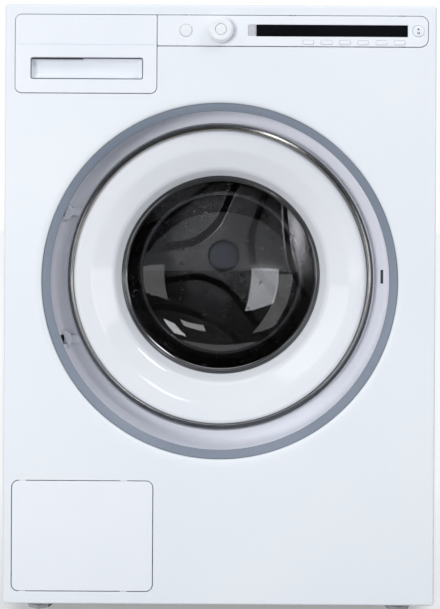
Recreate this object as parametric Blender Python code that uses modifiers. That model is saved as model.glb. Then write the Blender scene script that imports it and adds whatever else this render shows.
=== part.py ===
# Front-loading washing machine with a recessed round door, as an assembly of separate pieces.
# Metres, +Z up. The front faces -Y, and "depth" is the distance behind the front panel's face.
import math

import bmesh
import bpy
from mathutils import Matrix, Vector

# Whole machine
body_width = 0.595
half_width = body_width / 2
body_height = 0.850
body_depth = 0.567
foot_gap = 0.023
sheet = 0.0012
seam = 0.0003
joint_gap = 0.0010
overrun = 0.002
face_proud = 0.001
knob_height = 0.0165
spigot_reach = 0.018
merge = 0.00001

# Facets
ring_steps = 28
tub_steps = 20
small_steps = 12
pin_steps = 8
arc_steps = 2
sharp_angle = math.radians(35)

# Front panel's folded edge and the rolled lip of its door opening
panel_corner = 0.005
panel_roll = 0.004
panel_return = 0.0182
door_centre_z = 0.469
door_web = 0.0515
lip_radius = half_width - door_web
lip_width = 0.010
lip_depth = 0.0055
lip_tail = 0.0015
lip_steps = 3

# Bezel band behind the lip
band_gap = 0.0005
band_outer = lip_radius - band_gap
band_width = 0.0135
band_inner = band_outer - band_width
band_front = 0.0042
band_edge_depth = 0.011
band_wall = 0.0024
band_flange = 0.016
band_skirt = lip_radius + band_flange
band_tip = 0.0015
dish_flange_depth = 0.0085

# Dish with the mouth that the door closes
dish_sheet = 0.0015
dish_overlap = 0.0015
dish_radius = lip_radius + dish_overlap
dish_draft = 0.0035
dish_wall_foot = dish_radius - dish_draft
dish_depth = 0.068
dish_fillet = 0.009
dish_ledge = 0.0405
step_radius = dish_radius - dish_ledge
step_width = 0.0095
step_depth = 0.012
mouth_ledge = 0.043
mouth_radius = step_radius - mouth_ledge
mouth_rim = 0.010
mouth_curl = 0.0015
lock_slot_inset = 0.0105
lock_slot_x = dish_wall_foot - lock_slot_inset
lock_slot_width = 0.0027
lock_slot_height = 0.020

# Door
trim_overlap = 0.014
trim_outer = step_radius + trim_overlap
trim_width = 0.0104
trim_front = 0.0505
trim_height = 0.0145
trim_fit = 0.0004
trim_shape_shares = (
    (0, 0.103), (0.279, 0), (0.663, 0.138), (0.923, 0.483), (1, 0.931), (0.760, 1), (0, 1),
)
frame_front = 0.047
frame_wall = 0.003
frame_skirt_depth = 0.064
frame_shape_shares = (
    (0, 1), (0, 0.900), (0.060, 0.660), (0.200, 0.400), (0.480, 0.150), (0.870, 0), (0.965, 0.035),
    (1, 0.167),
)
door_ring_width = 0.076
glass_rim_radius = trim_outer - door_ring_width
glass_rim_depth = 0.086
glass_flange = 0.0065
glass_wall = 0.0035
bowl_depth = 0.0752
bowl_inset = 0.001
bowl_shape_shares = (
    (0, 1), (0.380, 0.955), (0.700, 0.755), (0.890, 0.420), (0.975, 0.125), (1, 0),
)
back_plate_depth = 0.065
back_wall = 0.0025
back_fit = 0.0006
back_skirt = 0.005
back_cone_rise = 0.0153
back_lip = 0.002
back_land = 0.023
back_cone_radius = glass_rim_radius + back_land
back_foot_width = 0.011
back_foot_radius = glass_rim_radius + back_foot_width
back_foot_depth = 0.0928

# Door hinge: two goosenecks on one leaf, on pins hidden beside the dish
hinge_x = -band_outer
hinge_depth = 0.026
hinge_spread_share = 4 / 9
hinge_spread = step_radius * hinge_spread_share
neck_radius = 0.0475
neck_sheet = 0.0018
neck_steps = 7
neck_height = 0.010
neck_sweep = math.radians(113)
knuckle_radius = 0.0055
knuckle_height = 0.0194
pin_radius = 0.0028
pin_gap = 0.0004
pin_overhang = 0.001
leaf_land = 0.027
leaf_inner_x = -glass_rim_radius - leaf_land
leaf_inset = 0.020
leaf_radius = trim_outer - leaf_inset
leaf_arc_steps = 6
slot_inset = 0.007
slot_low_x = hinge_x + slot_inset
slot_length = 0.025
slot_high_x = slot_low_x + slot_length
slot_height = 0.014
slot_front = 0.040
bracket_sheet = 0.002
bracket_inset = 0.005
bracket_right_x = hinge_x - bracket_inset
bracket_width = 0.0325
bracket_left_x = bracket_right_x - bracket_width
bracket_overhang = 0.0078
lug_root = 0.0115
lug_sheet = 0.0022
lug_reach = 0.0065

# Door catch and lock
hook_inset = 0.0307
hook_x = trim_outer - hook_inset
hook_sheet = 0.003
hook_base = 0.010
hook_depth = 0.0985
hook_nose = 0.0047
hook_nose_length = 0.0085
hook_height = 0.012
catch_slot_lead = 0.0053
catch_slot_low_x = hook_x - catch_slot_lead
catch_slot_room = 0.0097
catch_slot_high_x = hook_x + catch_slot_room
catch_slot_height = 0.018
lock_lead = 0.0005
lock_low_x = catch_slot_low_x - lock_lead
lock_width = 0.0475
lock_high_x = lock_low_x + lock_width
lock_height = 0.060
lock_depth = 0.0232
lock_wall = 0.0017

# Drawer and control strip, as places on the front
strip_drop = 0.015
strip_top = body_height - strip_drop
strip_height = 0.042
strip_bottom = strip_top - strip_height
strip_side_gap = 0.0125
strip_right = half_width - strip_side_gap
strip_corner = 0.011
strip_wall = 0.0025
strip_rim_depth = 0.0095
strip_rim_wall = 0.0016
strip_rim_inset = 0.0002
drawer_side_gap = 0.0147
drawer_left = drawer_side_gap - half_width
drawer_right = -0.0884
drawer_height = 0.1076
drawer_bottom = strip_top - drawer_height
drawer_corner = 0.0085
drawer_block = 0.017
drawer_groove_rise = 0.001
drawer_groove_z = strip_bottom + drawer_groove_rise
drawer_groove = 0.0009
recess_inset_left = 0.0211
recess_left = drawer_left + recess_inset_left
recess_inset_right = 0.0188
recess_right = drawer_right - recess_inset_right
recess_rise = 0.019
recess_bottom = drawer_bottom + recess_rise
recess_height = 0.0296
recess_top = recess_bottom + recess_height
recess_corner = 0.003
recess_depth = 0.0145
recess_undercut = 0.006
recess_lip = 0.004
recess_undercut_inset = 0.004
housing_inset = 0.0023
housing_rise = 0.0021
housing_bottom = drawer_bottom + housing_rise
opening_gap = 0.0008

# Controls on the strip
start_inset = 0.0136
start_x = strip_right - start_inset
window_left = 0.0485
window_start_gap = 0.0146
window_right = start_x - window_start_gap
window_rise = 0.0146
window_bottom = strip_bottom + window_rise
window_height = 0.014
window_top = window_bottom + window_height
window_sheet = 0.0022
window_sink = 0.0003
window_corner = 0.0006
power_x = -0.0483
power_rise = 0.0212
power_z = strip_bottom + power_rise
power_radius = 0.0083
start_rise = 0.0218
start_z = strip_bottom + start_rise
start_radius = 0.0078
button_gap = 0.0004
button_proud = 0.0004
button_crown = 0.0006
button_flange = 0.0012
button_flange_reach = 0.0012
round_steps = 3
button_stem_radius = 0.0024
button_stem_depth = 0.0078
option_count = 6
option_pitch = 0.02515
option_end_gap = 0.02565
option_first_x = start_x - option_end_gap - option_pitch * (option_count - 1)
option_rise = 0.0055
option_z = strip_bottom + option_rise
option_width = 0.0155
option_height = 0.0059
knob_x = 0.0
knob_rise = 0.0207
knob_z = strip_bottom + knob_rise
knob_radius = 0.0173
knob_crown = 0.0028
knob_lead = 0.0006
knob_bulge_share = 0.65
knob_shaft_end = 0.0095
knob_shaft_radius = 0.003
knob_shaft_gap = 0.0006
cap_radius = 0.0074
cap_gap = 0.0004
cap_sink = 0.0002
cap_height = 0.0032
cap_bore_depth = 0.005
board_left = -0.060
board_inset = 0.007
board_right = strip_right - board_inset
board_height = 0.0345
board_rise = 0.021
board_middle_z = strip_bottom + board_rise
board_depth = 0.0098
board_parts_share = (
    (0.33, 0.88, 0.28, 0.76, 0.42, 0.10), (0.02, 0.11, 0.08, 0.52, 0, 0.95),
    (0.14, 0.19, 0.56, 0.90, 0, 0.70), (0.22, 0.27, 0.56, 0.90, 0, 0.70),
    (0.15, 0.26, 0.08, 0.34, 0, 0.45), (0.90, 0.97, 0.16, 0.80, 0, 0.60),
)
board_sheet = 0.0016
board_parts_depth = 0.012

# Detergent drawer's tray and housing
tray_wall = 0.0018
tray_height = 0.058
tray_length = 0.240
tray_clearance = 0.002
tray_floor_gap = 0.0005
tray_shares = (0.34, 0.40, 0.26)
housing_wall = 0.002
housing_length = 0.2435
spout_radius = 0.014
spout_height = 0.012
spout_inset = 0.042

# Service flap and the filter behind it
flap_side_gap = 0.0131
flap_left = flap_side_gap - half_width
flap_right = -0.0909
flap_rise = 0.019
flap_bottom = foot_gap + flap_rise
flap_height = 0.1512
flap_top = flap_bottom + flap_height
flap_corner = 0.009
flap_sheet = 0.0022
flap_edge = 0.0009
flap_barrel_inset = 0.004
flap_rib_count = 2
flap_axis_inset = 0.009
flap_axis_depth = 0.0028
flap_pin_radius = 0.0010
flap_pin_reach = 0.0038
flap_barrel_radius = 0.0022
flap_rib = 0.0018
flap_rib_depth = 0.004
flap_rib_inset = 0.006
ear_gap = 0.0018
ear_sheet = 0.0025
ear_width = 0.0075
ear_depth = 0.0052
ear_pin_gap = 0.0004
filter_inset = 0.0944
filter_x = flap_left + filter_inset
filter_rise = 0.070
filter_z = flap_bottom + filter_rise
chamber_radius = 0.034
chamber_wall = 0.005
chamber_front = 0.0235
chamber_length = 0.090
chamber_floor = 0.030
pump_radius = 0.044
pump_length = 0.055
pump_motor_radius = 0.028
pump_motor_length = 0.040
pump_leg_width = 0.040
plug_gap = 0.0014
plug_length = 0.020
plug_disc = 0.005
plug_disc_inset = 0.001
plug_grip_length = 0.044
plug_grip_width = 0.007
plug_grip_height = 0.008

# Casing behind the front
cover_height = 0.018
cover_bevel = 0.002
cover_recess = 0.006
cover_edge = 0.022
tray_rim_height = 0.029
base_wall = 0.0025
side_fold = 0.012
side_roll = 0.003
rear_field_low = 0.180
rear_field_drop = 0.150
rear_field_high = body_height - rear_field_drop
field_inset = 0.045
field_slope = 0.006
field_press = 0.004
field_corner = 0.020
hanger_reach = 0.075
hanger_sheet = 0.004
hanger_width = 0.030
hanger_embed = 0.0006

# Feet
foot_side_inset = 0.0425
foot_x = half_width - foot_side_inset
foot_front_depth = 0.055
foot_rear_inset = 0.052
foot_rear_depth = body_depth - foot_rear_inset
foot_pad_radius = 0.019
foot_pad_height = 0.008
foot_pad_crest = 0.005
foot_neck_radius = 0.011
foot_nut_height = 0.006
foot_nut_radius = 0.0095
foot_stem_radius = 0.005
foot_stem_top = 0.046
foot_hole_gap = 0.0005

# Rear connections
inlet_side_inset = 0.1175
inlet_x = inlet_side_inset - half_width
inlet_drop = 0.060
inlet_z = body_height - inlet_drop
inlet_radius = 0.0125
inlet_bore = 0.0085
inlet_body_width = 0.046
inlet_body_height = 0.034
inlet_body_depth = 0.045
inlet_hole_gap = 0.0008
gland_side_inset = 0.0775
gland_x = half_width - gland_side_inset
gland_z = 0.120
gland_radius = 0.0105
gland_flange = 0.0140
gland_bore = 0.004
gland_clip = 0.0025
gland_taper = 0.0015
gland_inner_depth = 0.012
gland_nose = 0.013
gland_hole_gap = 0.0005

# Tub
tub_side_room = 0.039
tub_radius = half_width - tub_side_room
tub_wall = 0.0025
tub_front_depth = 0.118
tub_corner = 0.0135
tub_corner_share = 0.293
tub_neck_room = 0.0115
tub_neck_radius = mouth_radius + tub_neck_room
tub_neck_depth = 0.109
tub_seam_depth = 0.282
tub_seam_flange = 0.0075
tub_seam_radius = tub_radius + tub_seam_flange
belt_room = 0.127
tub_rear_depth = body_depth - belt_room
boss_root_radius = 0.062
boss_flare = 0.006
boss_hollow = 0.002
boss_shoulder = 0.010
boss_shoulder_depth = tub_rear_depth + boss_shoulder
boss_radius = 0.0425
boss_length = 0.039
boss_end = tub_rear_depth + boss_length
bearing_outer = 0.030
bearing_gap = 0.0003
bearing_inset = 0.0163
bearing_front = tub_rear_depth + bearing_inset
bearing_length = 0.0224
bearing_chamfer = 0.001
bearing_shoulder_radius = 0.016
bearing_shoulder = 0.006
gasket_fit = 0.0019
gasket_inner = mouth_radius + gasket_fit
gasket_end_reach = 0.006
gasket_end_radius = mouth_radius + gasket_end_reach
gasket_fold_reach = 0.013
gasket_fold_radius = mouth_radius + gasket_fold_reach
gasket_wall = 0.0025
gasket_fold_front = 0.0955
gasket_fold_back = 0.1062
gasket_end_depth = 0.1165
gasket_fold_share = 0.5

# Suspension
spring_side_inset = 0.0575
spring_x = half_width - spring_side_inset
lug_setback = 0.033
spring_depth = tub_seam_depth + lug_setback
spring_radius = 0.009
spring_turns = 5
spring_turn_steps = 6
wire_radius = 0.0016
spring_seat_inset = 0.1375
spring_seat_z = door_centre_z + tub_radius - spring_seat_inset
spring_lug_width = 0.022
saddle_steps = 6
hanger_gap = 0.0095
spring_top_z = housing_bottom - hanger_gap
lug_length = 0.030
damper_x = 0.150
damper_depth = tub_seam_depth + lug_setback
damper_seat_inset = 0.0245
damper_seat_z = door_centre_z - tub_radius + damper_seat_inset
damper_lug_width = 0.030
rod_radius = 0.006
rod_bottom = 0.110
damper_bore_gap = 0.0005
damper_wall = 0.007
damper_bottom = 0.012
damper_top = 0.165
damper_foot_radius = 0.020
damper_foot_height = 0.008

# Counterweight and heater
weight_left = -0.055
weight_right = 0.165
weight_share = 0.6
weight_setback = 0.017
weight_front = tub_front_depth + weight_setback
weight_seam_gap = 0.020
weight_rear = tub_seam_depth - weight_seam_gap
weight_gap = 0.0005
weight_corner = 0.020
weight_edge = 0.003
weight_steps = 12
heater_radius = 0.004
heater_inset = 0.0107
heater_ring_radius = tub_radius - heater_inset
heater_half_width = 0.030
heater_stub = 0.012
heater_start = tub_front_depth - heater_stub
heater_back_gap = 0.045
heater_end = tub_rear_depth - heater_back_gap
heater_hole_gap = 0.0005
heater_steps = 8

# Drum
drum_room = 0.0185
drum_radius = tub_radius - drum_room
drum_sheet = 0.0012
drum_mouth_inset = 0.004
drum_mouth = mouth_radius - drum_mouth_inset
drum_front_gap = 0.0095
drum_front = tub_front_depth + drum_front_gap
drum_cone = 0.0055
drum_corner = 0.012
drum_curl = 0.004
drum_lip = 0.0065
drum_back_gap = 0.015
drum_end = tub_rear_depth - drum_back_gap
lifter_count = 3
lifter_height = 0.046
lifter_foot = 0.034
lifter_crest = 0.010
lifter_setback = 0.0375
lifter_start = drum_front + lifter_setback
lifter_back_gap = 0.030
lifter_end = drum_end - lifter_back_gap
lifter_slope = 0.010
lifter_turn = math.pi / tub_steps
back_inset = 0.015
back_depth = drum_end - back_inset
back_rim_step = 0.007
back_rim_width = 0.033
back_rim_curl = 0.008
bore_start = 0.010
star_height = 0.019
star_half_width = 0.034
star_margin = 0.044
star_length = drum_radius - star_margin
star_slope = 0.006
star_shoulder = 0.005
star_crotch = 0.070
star_tip = 0.020
star_steps = 3
star_turn = math.radians(188.4)
petal_valley_share = 0.18
petal_margin_share = 0.17
petal_apex_share = 0.58
petal_tip_share = 0.09
petal_valley = drum_radius * petal_valley_share
petal_margin = drum_radius * petal_margin_share
petal_apex = drum_radius * petal_apex_share
petal_tip = drum_radius * petal_tip_share
petal_height = 0.013
petal_slope = 0.006
petal_shoulder = 0.004
petal_arc_steps = 4
hub_cap_radius = 0.0286
hub_cap_height = 0.005
hub_cap_edge = 0.0015
hub_neck_radius = 0.015
hub_hole_gap = 0.0008
hub_flange_radius = 0.048
hub_flange = 0.0045
hub_cone = 0.0135
hub_root_radius = 0.020
shaft_radius = 0.0125
shaft_stub = 0.066
shaft_end = boss_end + shaft_stub
shaft_gap = 0.0005

# Belt drive
pulley_radius = 0.140
pulley_gap = 0.034
pulley_front = boss_end + pulley_gap
pulley_width = 0.020
pulley_rim = 0.010
pulley_web = 0.005
pulley_hub_radius = 0.024
pulley_hub_length = 0.040
pulley_hub_back = 0.022
pulley_bore_gap = 0.0003
pulley_hole_count = 5
pulley_hole_radius = 0.030
pulley_hole_distance = 0.078
motor_x = 0.072
motor_tub_gap = 0.0755
motor_z = door_centre_z - tub_radius - motor_tub_gap
motor_radius = 0.060
motor_belt_gap = 0.041
motor_length = 0.127
motor_end = pulley_front - motor_belt_gap
motor_front = motor_end - motor_length
motor_corner = 0.010
motor_recess = 0.008
motor_boss_radius = 0.018
motor_boss = 0.008
motor_shaft_radius = 0.007
motor_pulley_radius = 0.012
motor_lug_width = 0.034
motor_seat_gap = 0.0045
motor_seat_z = door_centre_z - tub_radius - motor_seat_gap
motor_lug_setback = 0.020
motor_lug_start = motor_front + motor_lug_setback
motor_lug_length = 0.050
motor_lug_end = motor_lug_start + motor_lug_length
belt_gap = 0.0005
belt_sheet = 0.0018
belt_inset = 0.0015
belt_steps = 24

groups = {}

front_reach = face_proud + knob_height
front_y = front_reach - (front_reach + body_depth + spigot_reach) / 2
dish_back = dish_depth + dish_sheet
flange_depth = dish_depth + step_depth
tray_rim_z = foot_gap + tray_rim_height
cover_bottom = body_height - cover_height
side_start = panel_return + seam
rear_inner = body_depth - sheet

finishes = {
    "enamel": ((0.86, 0.89, 0.94), 0.32, 0.0),
    "band": ((0.42, 0.47, 0.54), 0.40, 0.0),
    "dish": ((0.74, 0.76, 0.84), 0.38, 0.0),
    "gloss": ((0.88, 0.90, 0.95), 0.12, 0.0),
    "chrome": ((0.80, 0.80, 0.78), 0.12, 1.0),
    "steel": ((0.55, 0.56, 0.58), 0.30, 1.0),
    "drum": ((0.30, 0.29, 0.28), 0.28, 1.0),
    "glass": ((0.08, 0.09, 0.10), 0.04, 0.0),
    "black": ((0.015, 0.015, 0.018), 0.18, 0.0),
    "plastic": ((0.80, 0.83, 0.88), 0.45, 0.0),
    "grey": ((0.45, 0.46, 0.48), 0.55, 0.0),
    "dark": ((0.10, 0.10, 0.11), 0.60, 0.0),
    "iron": ((0.30, 0.30, 0.31), 0.75, 0.3),
    "board": ((0.05, 0.22, 0.12), 0.50, 0.0),
    "rubber": ((0.22, 0.23, 0.25), 0.75, 0.0),
}


def start_scene():
    for old in list(bpy.data.objects):
        bpy.data.objects.remove(old, do_unlink=True)
    for name in ("washing_machine", "cutters"):
        group = bpy.data.collections.new(name)
        bpy.context.scene.collection.children.link(group)
        groups[name] = group


# A place given as x, depth and height
def at(x, depth, z):
    return Vector((x, front_y + depth, z))


# Turns a flat drawing to one side of the machine: its z points out of that side
def facing(side):
    rows = {
        "front": ((1, 0, 0), (0, 0, -1), (0, 1, 0)),
        "right": ((0, 0, 1), (1, 0, 0), (0, 1, 0)),
        "left": ((0, 0, -1), (-1, 0, 0), (0, 1, 0)),
        "rear": ((-1, 0, 0), (0, 0, 1), (0, 1, 0)),
        "top": ((1, 0, 0), (0, 1, 0), (0, 0, 1)),
    }[side]
    return Matrix(rows).to_4x4()


def keep(name, bm):
    mesh = bpy.data.meshes.new(name)
    bm.to_mesh(mesh)
    bm.free()
    piece = bpy.data.objects.new(name, mesh)
    groups["washing_machine"].objects.link(piece)
    return piece


def box(name, low, high):
    a, b = at(*low), at(*high)
    bm = bmesh.new()
    place = Matrix.Translation((a + b) / 2) @ Matrix.Diagonal((*(b - a), 1))
    bmesh.ops.create_cube(bm, size=1, matrix=place)
    return keep(name, bm)


def rod(name, radius, start, end, steps=small_steps):
    a, b = at(*start), at(*end)
    turn = (b - a).to_track_quat("Z", "Y").to_matrix().to_4x4()
    bm = bmesh.new()
    bmesh.ops.create_cone(
        bm, cap_ends=True, segments=steps, radius1=radius, radius2=radius,
        depth=(b - a).length, matrix=Matrix.Translation((a + b) / 2) @ turn,
    )
    return keep(name, bm)


# Turns a profile of (radius, depth) points about a line through (x, z), or of (radius, height)
# points about an upright line through (x, depth)
def turned(name, profile, place, steps=ring_steps, upright=False):
    points = [(radius, 0, along if upright else -along) for radius, along in profile]
    following = points[1:] + points[:1]
    area = sum(a[0] * b[2] - b[0] * a[2] for a, b in zip(points, following))
    if area > 0:
        points.reverse()
    solid_core = any(radius <= 0 for radius, along in profile)
    edges = [(i, i + 1) for i in range(len(points) - 1)]
    if solid_core:
        start = next(i for i, point in enumerate(points) if point[0] <= 0 and points[i - 1][0] <= 0)
        points = points[start:] + points[:start]
    else:
        edges.append((len(points) - 1, 0))
    mesh = bpy.data.meshes.new(name)
    mesh.from_pydata(points, edges, [])
    piece = bpy.data.objects.new(name, mesh)
    groups["washing_machine"].objects.link(piece)
    screw = piece.modifiers.new("turn", "SCREW")
    screw.axis = "Z"
    screw.angle = 2 * math.pi
    screw.steps = screw.render_steps = steps
    screw.use_merge_vertices = True
    screw.merge_threshold = merge
    screw.use_smooth_shade = True
    if upright:
        piece.location = at(place[0], place[1], 0)
    else:
        piece.location = at(place[0], 0, place[1])
        piece.rotation_euler = facing("front").to_euler()
    return piece


# Closed profile of a shell: a line of points, and the same line moved sideways by the wall
def shell(line, wall):
    moved = []
    for i, point in enumerate(line):
        here = Vector(point)
        before = Vector(line[i - 1]) if i else None
        after = Vector(line[i + 1]) if i + 1 < len(line) else None
        sides = [(b - a).normalized() for a, b in ((before, here), (here, after)) if None not in (a, b)]
        normals = [Vector((-side.y, side.x)) for side in sides]
        middle = sum(normals, Vector((0, 0))).normalized()
        reach = middle * wall / middle.dot(normals[0])
        moved.append((here.x + reach.x if here.x else 0, here.y + reach.y))
    return list(line) + moved[::-1]


# Corner points (u, v, radius), each rounded by its radius
def rounded(corners, steps=arc_steps):
    points = []
    for i, (u, v, radius) in enumerate(corners):
        here = Vector((u, v))
        if radius <= 0:
            points.append((u, v))
            continue
        back = (Vector(corners[i - 1][:2]) - here).normalized()
        ahead = (Vector(corners[(i + 1) % len(corners)][:2]) - here).normalized()
        half = back.angle(ahead) / 2
        centre = here + (back + ahead).normalized() * radius / math.sin(half)
        first = here + back * radius / math.tan(half) - centre
        last = here + ahead * radius / math.tan(half) - centre
        sweep = math.atan2(first.x * last.y - first.y * last.x, first.dot(last))
        for k in range(steps + 1):
            turn = Matrix.Rotation(sweep * k / steps, 2)
            points.append(tuple(centre + turn @ first))
    return points


def rectangle(left, right, low, high, radius=0, steps=arc_steps):
    corners = ((left, low), (right, low), (right, high), (left, high))
    return rounded([(u, v, radius) for u, v in corners], steps)


def circle(u, v, radius, steps=ring_steps):
    turns = [2 * math.pi * k / steps for k in range(steps)]
    return [(u + radius * math.cos(turn), v + radius * math.sin(turn)) for turn in turns]


# Outline of a strip of metal that follows a path
def ribbon(path, wall):
    loop = shell(path, wall / 2)
    back = shell(path[::-1], wall / 2)
    return loop[len(path):] + back[len(path):]


def filled(name, outlines, thickness=0):
    curve = bpy.data.curves.new(name, "CURVE")
    curve.dimensions = "2D"
    curve.fill_mode = "BOTH"
    curve.extrude = thickness / 2
    for outline in outlines:
        spline = curve.splines.new("POLY")
        spline.points.add(len(outline) - 1)
        for point, (u, v) in zip(spline.points, outline):
            point.co = (u, v, 0, 1)
        spline.use_cyclic_u = True
    return from_curve(name, curve)


def from_curve(name, curve):
    holder = bpy.data.objects.new(name, curve)
    bpy.context.scene.collection.objects.link(holder)
    bpy.context.view_layer.update()
    seen = holder.evaluated_get(bpy.context.evaluated_depsgraph_get())
    bm = bmesh.new()
    mesh = bpy.data.meshes.new_from_object(seen)
    bm.from_mesh(mesh)
    bpy.data.meshes.remove(mesh)
    bpy.data.objects.remove(holder, do_unlink=True)
    bpy.data.curves.remove(curve)
    bmesh.ops.remove_doubles(bm, verts=bm.verts, dist=merge)
    bmesh.ops.recalc_face_normals(bm, faces=bm.faces)
    return bm


# Flat outlines with a thickness: the first is the edge, the rest are holes. They are drawn as
# (x, height) on the front, (x, depth) on the top and (depth, height) on the right.
def slab(name, outlines, side, low, high):
    bm = filled(name, outlines, high - low)
    middle = (low + high) / 2
    place = {"front": at(0, middle, 0), "top": at(0, 0, middle), "right": at(middle, 0, 0)}[side]
    bm.transform(Matrix.Translation(place) @ facing(side))
    return keep(name, bm)


# Skin through outlines of like count, closed at both ends, each with its depth behind the front
def lofted(name, rings):
    bm = bmesh.new()
    loops = [[bm.verts.new(at(u, depth, v)) for u, v in outline] for outline, depth in rings]
    count = len(loops[0])
    for a, b in zip(loops, loops[1:]):
        for i in range(count):
            j = (i + 1) % count
            bm.faces.new((a[i], a[j], b[j], b[i]))
    bm.faces.new(loops[0])
    bm.faces.new(loops[-1])
    bmesh.ops.remove_doubles(bm, verts=bm.verts, dist=merge)
    bmesh.ops.recalc_face_normals(bm, faces=bm.faces)
    return keep(name, bm)


def tube(name, path, radius):
    curve = bpy.data.curves.new(name, "CURVE")
    curve.dimensions = "3D"
    curve.bevel_depth = radius
    curve.bevel_resolution = 2
    curve.use_fill_caps = True
    spline = curve.splines.new("POLY")
    spline.points.add(len(path) - 1)
    for point, place in zip(spline.points, path):
        point.co = (*at(*place), 1)
    return keep(name, from_curve(name, curve))


def set_aside(piece):
    groups["washing_machine"].objects.unlink(piece)
    groups["cutters"].objects.link(piece)
    piece.hide_render = True
    piece.display_type = "WIRE"


def combine(piece, other, operation):
    boolean = piece.modifiers.new(operation.lower(), "BOOLEAN")
    boolean.operation = operation
    boolean.solver = "EXACT"
    boolean.object = other
    set_aside(other)


def cut(piece, *cutters):
    for cutter in cutters:
        combine(piece, cutter, "DIFFERENCE")


def fuse(piece, *others):
    for other in others:
        combine(piece, other, "UNION")


def soften(piece, width, segments=1):
    bevel = piece.modifiers.new("edges", "BEVEL")
    bevel.width = width
    bevel.segments = segments
    bevel.limit_method = "ANGLE"
    bevel.angle_limit = sharp_angle


def finish(piece, look, axis=None):
    colour, roughness, metallic = finishes[look]
    material = bpy.data.materials.new(piece.name + "_finish")
    material.use_nodes = True
    shader = material.node_tree.nodes["Principled BSDF"]
    shader.inputs["Base Color"].default_value = (*colour, 1)
    shader.inputs["Roughness"].default_value = roughness
    shader.inputs["Metallic"].default_value = metallic
    material.diffuse_color = (*colour, 1)
    piece.data.materials.append(material)
    if piece.data.polygons:
        piece.data.shade_smooth()
        piece.data.set_sharp_from_angle(angle=sharp_angle)
    if axis:
        piece.parent = axis
        piece.matrix_parent_inverse = Matrix.Translation(axis.location).inverted()


# Empty on a joint's axis, which carries the pieces that move with it
def joint(name, place):
    axis = bpy.data.objects.new(name, None)
    axis.empty_display_size = hinge_spread
    axis.location = place
    groups["washing_machine"].objects.link(axis)
    return axis


# How a point on a rounded rectangle moves when its rim is folded outward and sunk. A circle is
# the rectangle whose corners meet.
def spread(edges, corner, offset, sunk):
    left, right, low, high = edges

    def move(place):
        u = min(max(place.x, left + corner), right - corner)
        v = min(max(place.y, low + corner), high - corner)
        away = (place.xy - Vector((u, v))).normalized() * (corner + offset)
        return Vector((u + away.x, v + away.y, -sunk))

    return move


# Draws the rim of one outline out of a flat sheet, once for each move
def fold(bm, outline, moves):
    on_rim = set()
    for vert in bm.verts:
        if any((vert.co.xy - Vector(point)).length < merge for point in outline):
            on_rim.add(vert)
    rim = [edge for edge in bm.edges if edge.is_boundary and on_rim.issuperset(edge.verts)]
    for move in moves:
        grown = bmesh.ops.extrude_edge_only(bm, edges=rim)["geom"]
        verts = {item for item in grown if isinstance(item, bmesh.types.BMVert)}
        edges = [item for item in grown if isinstance(item, bmesh.types.BMEdge)]
        rim = [edge for edge in edges if verts.issuperset(edge.verts)]
        for vert in verts:
            vert.co = move(vert.co)
    return rim


def folded_edge(bm, edges, corner, roll, reach):
    outline = rectangle(*edges, corner)
    moves = []
    for k in range(1, arc_steps + 1):
        turn = math.pi / 2 * k / arc_steps
        moves.append(spread(edges, corner, roll * math.sin(turn), roll * (1 - math.cos(turn))))
    moves.append(spread(edges, corner, roll, reach))
    fold(bm, outline, moves)


def pressed_field(bm, edges):
    moves = [spread(edges, field_corner, -field_slope, field_press)]
    rim = fold(bm, rectangle(*edges, field_corner), moves)
    bmesh.ops.contextual_create(bm, geom=rim)


def sheet_metal(name, bm, side, place, thickness=sheet):
    bmesh.ops.recalc_face_normals(bm, faces=bm.faces)
    flat = [face for face in bm.faces if all(abs(vert.co.z) < merge for vert in face.verts)]
    if flat[0].normal.z < 0:
        bmesh.ops.reverse_faces(bm, faces=bm.faces)
    bm.transform(Matrix.Translation(place) @ facing(side))
    piece = keep(name, bm)
    solid = piece.modifiers.new("sheet", "SOLIDIFY")
    solid.thickness = thickness
    solid.offset = -1
    solid.use_even_offset = True
    return piece


def control_opening():
    gap = opening_gap
    corners = (
        (drawer_left - gap, drawer_bottom - gap, drawer_corner + gap),
        (drawer_right + gap, drawer_bottom - gap, drawer_corner + gap),
        (drawer_right + gap, strip_bottom - gap, 0),
        (strip_right + gap, strip_bottom - gap, strip_corner + gap),
        (strip_right + gap, strip_top + gap, strip_corner + gap),
        (drawer_left - gap, strip_top + gap, drawer_corner + gap),
    )
    return rounded(corners)


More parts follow.
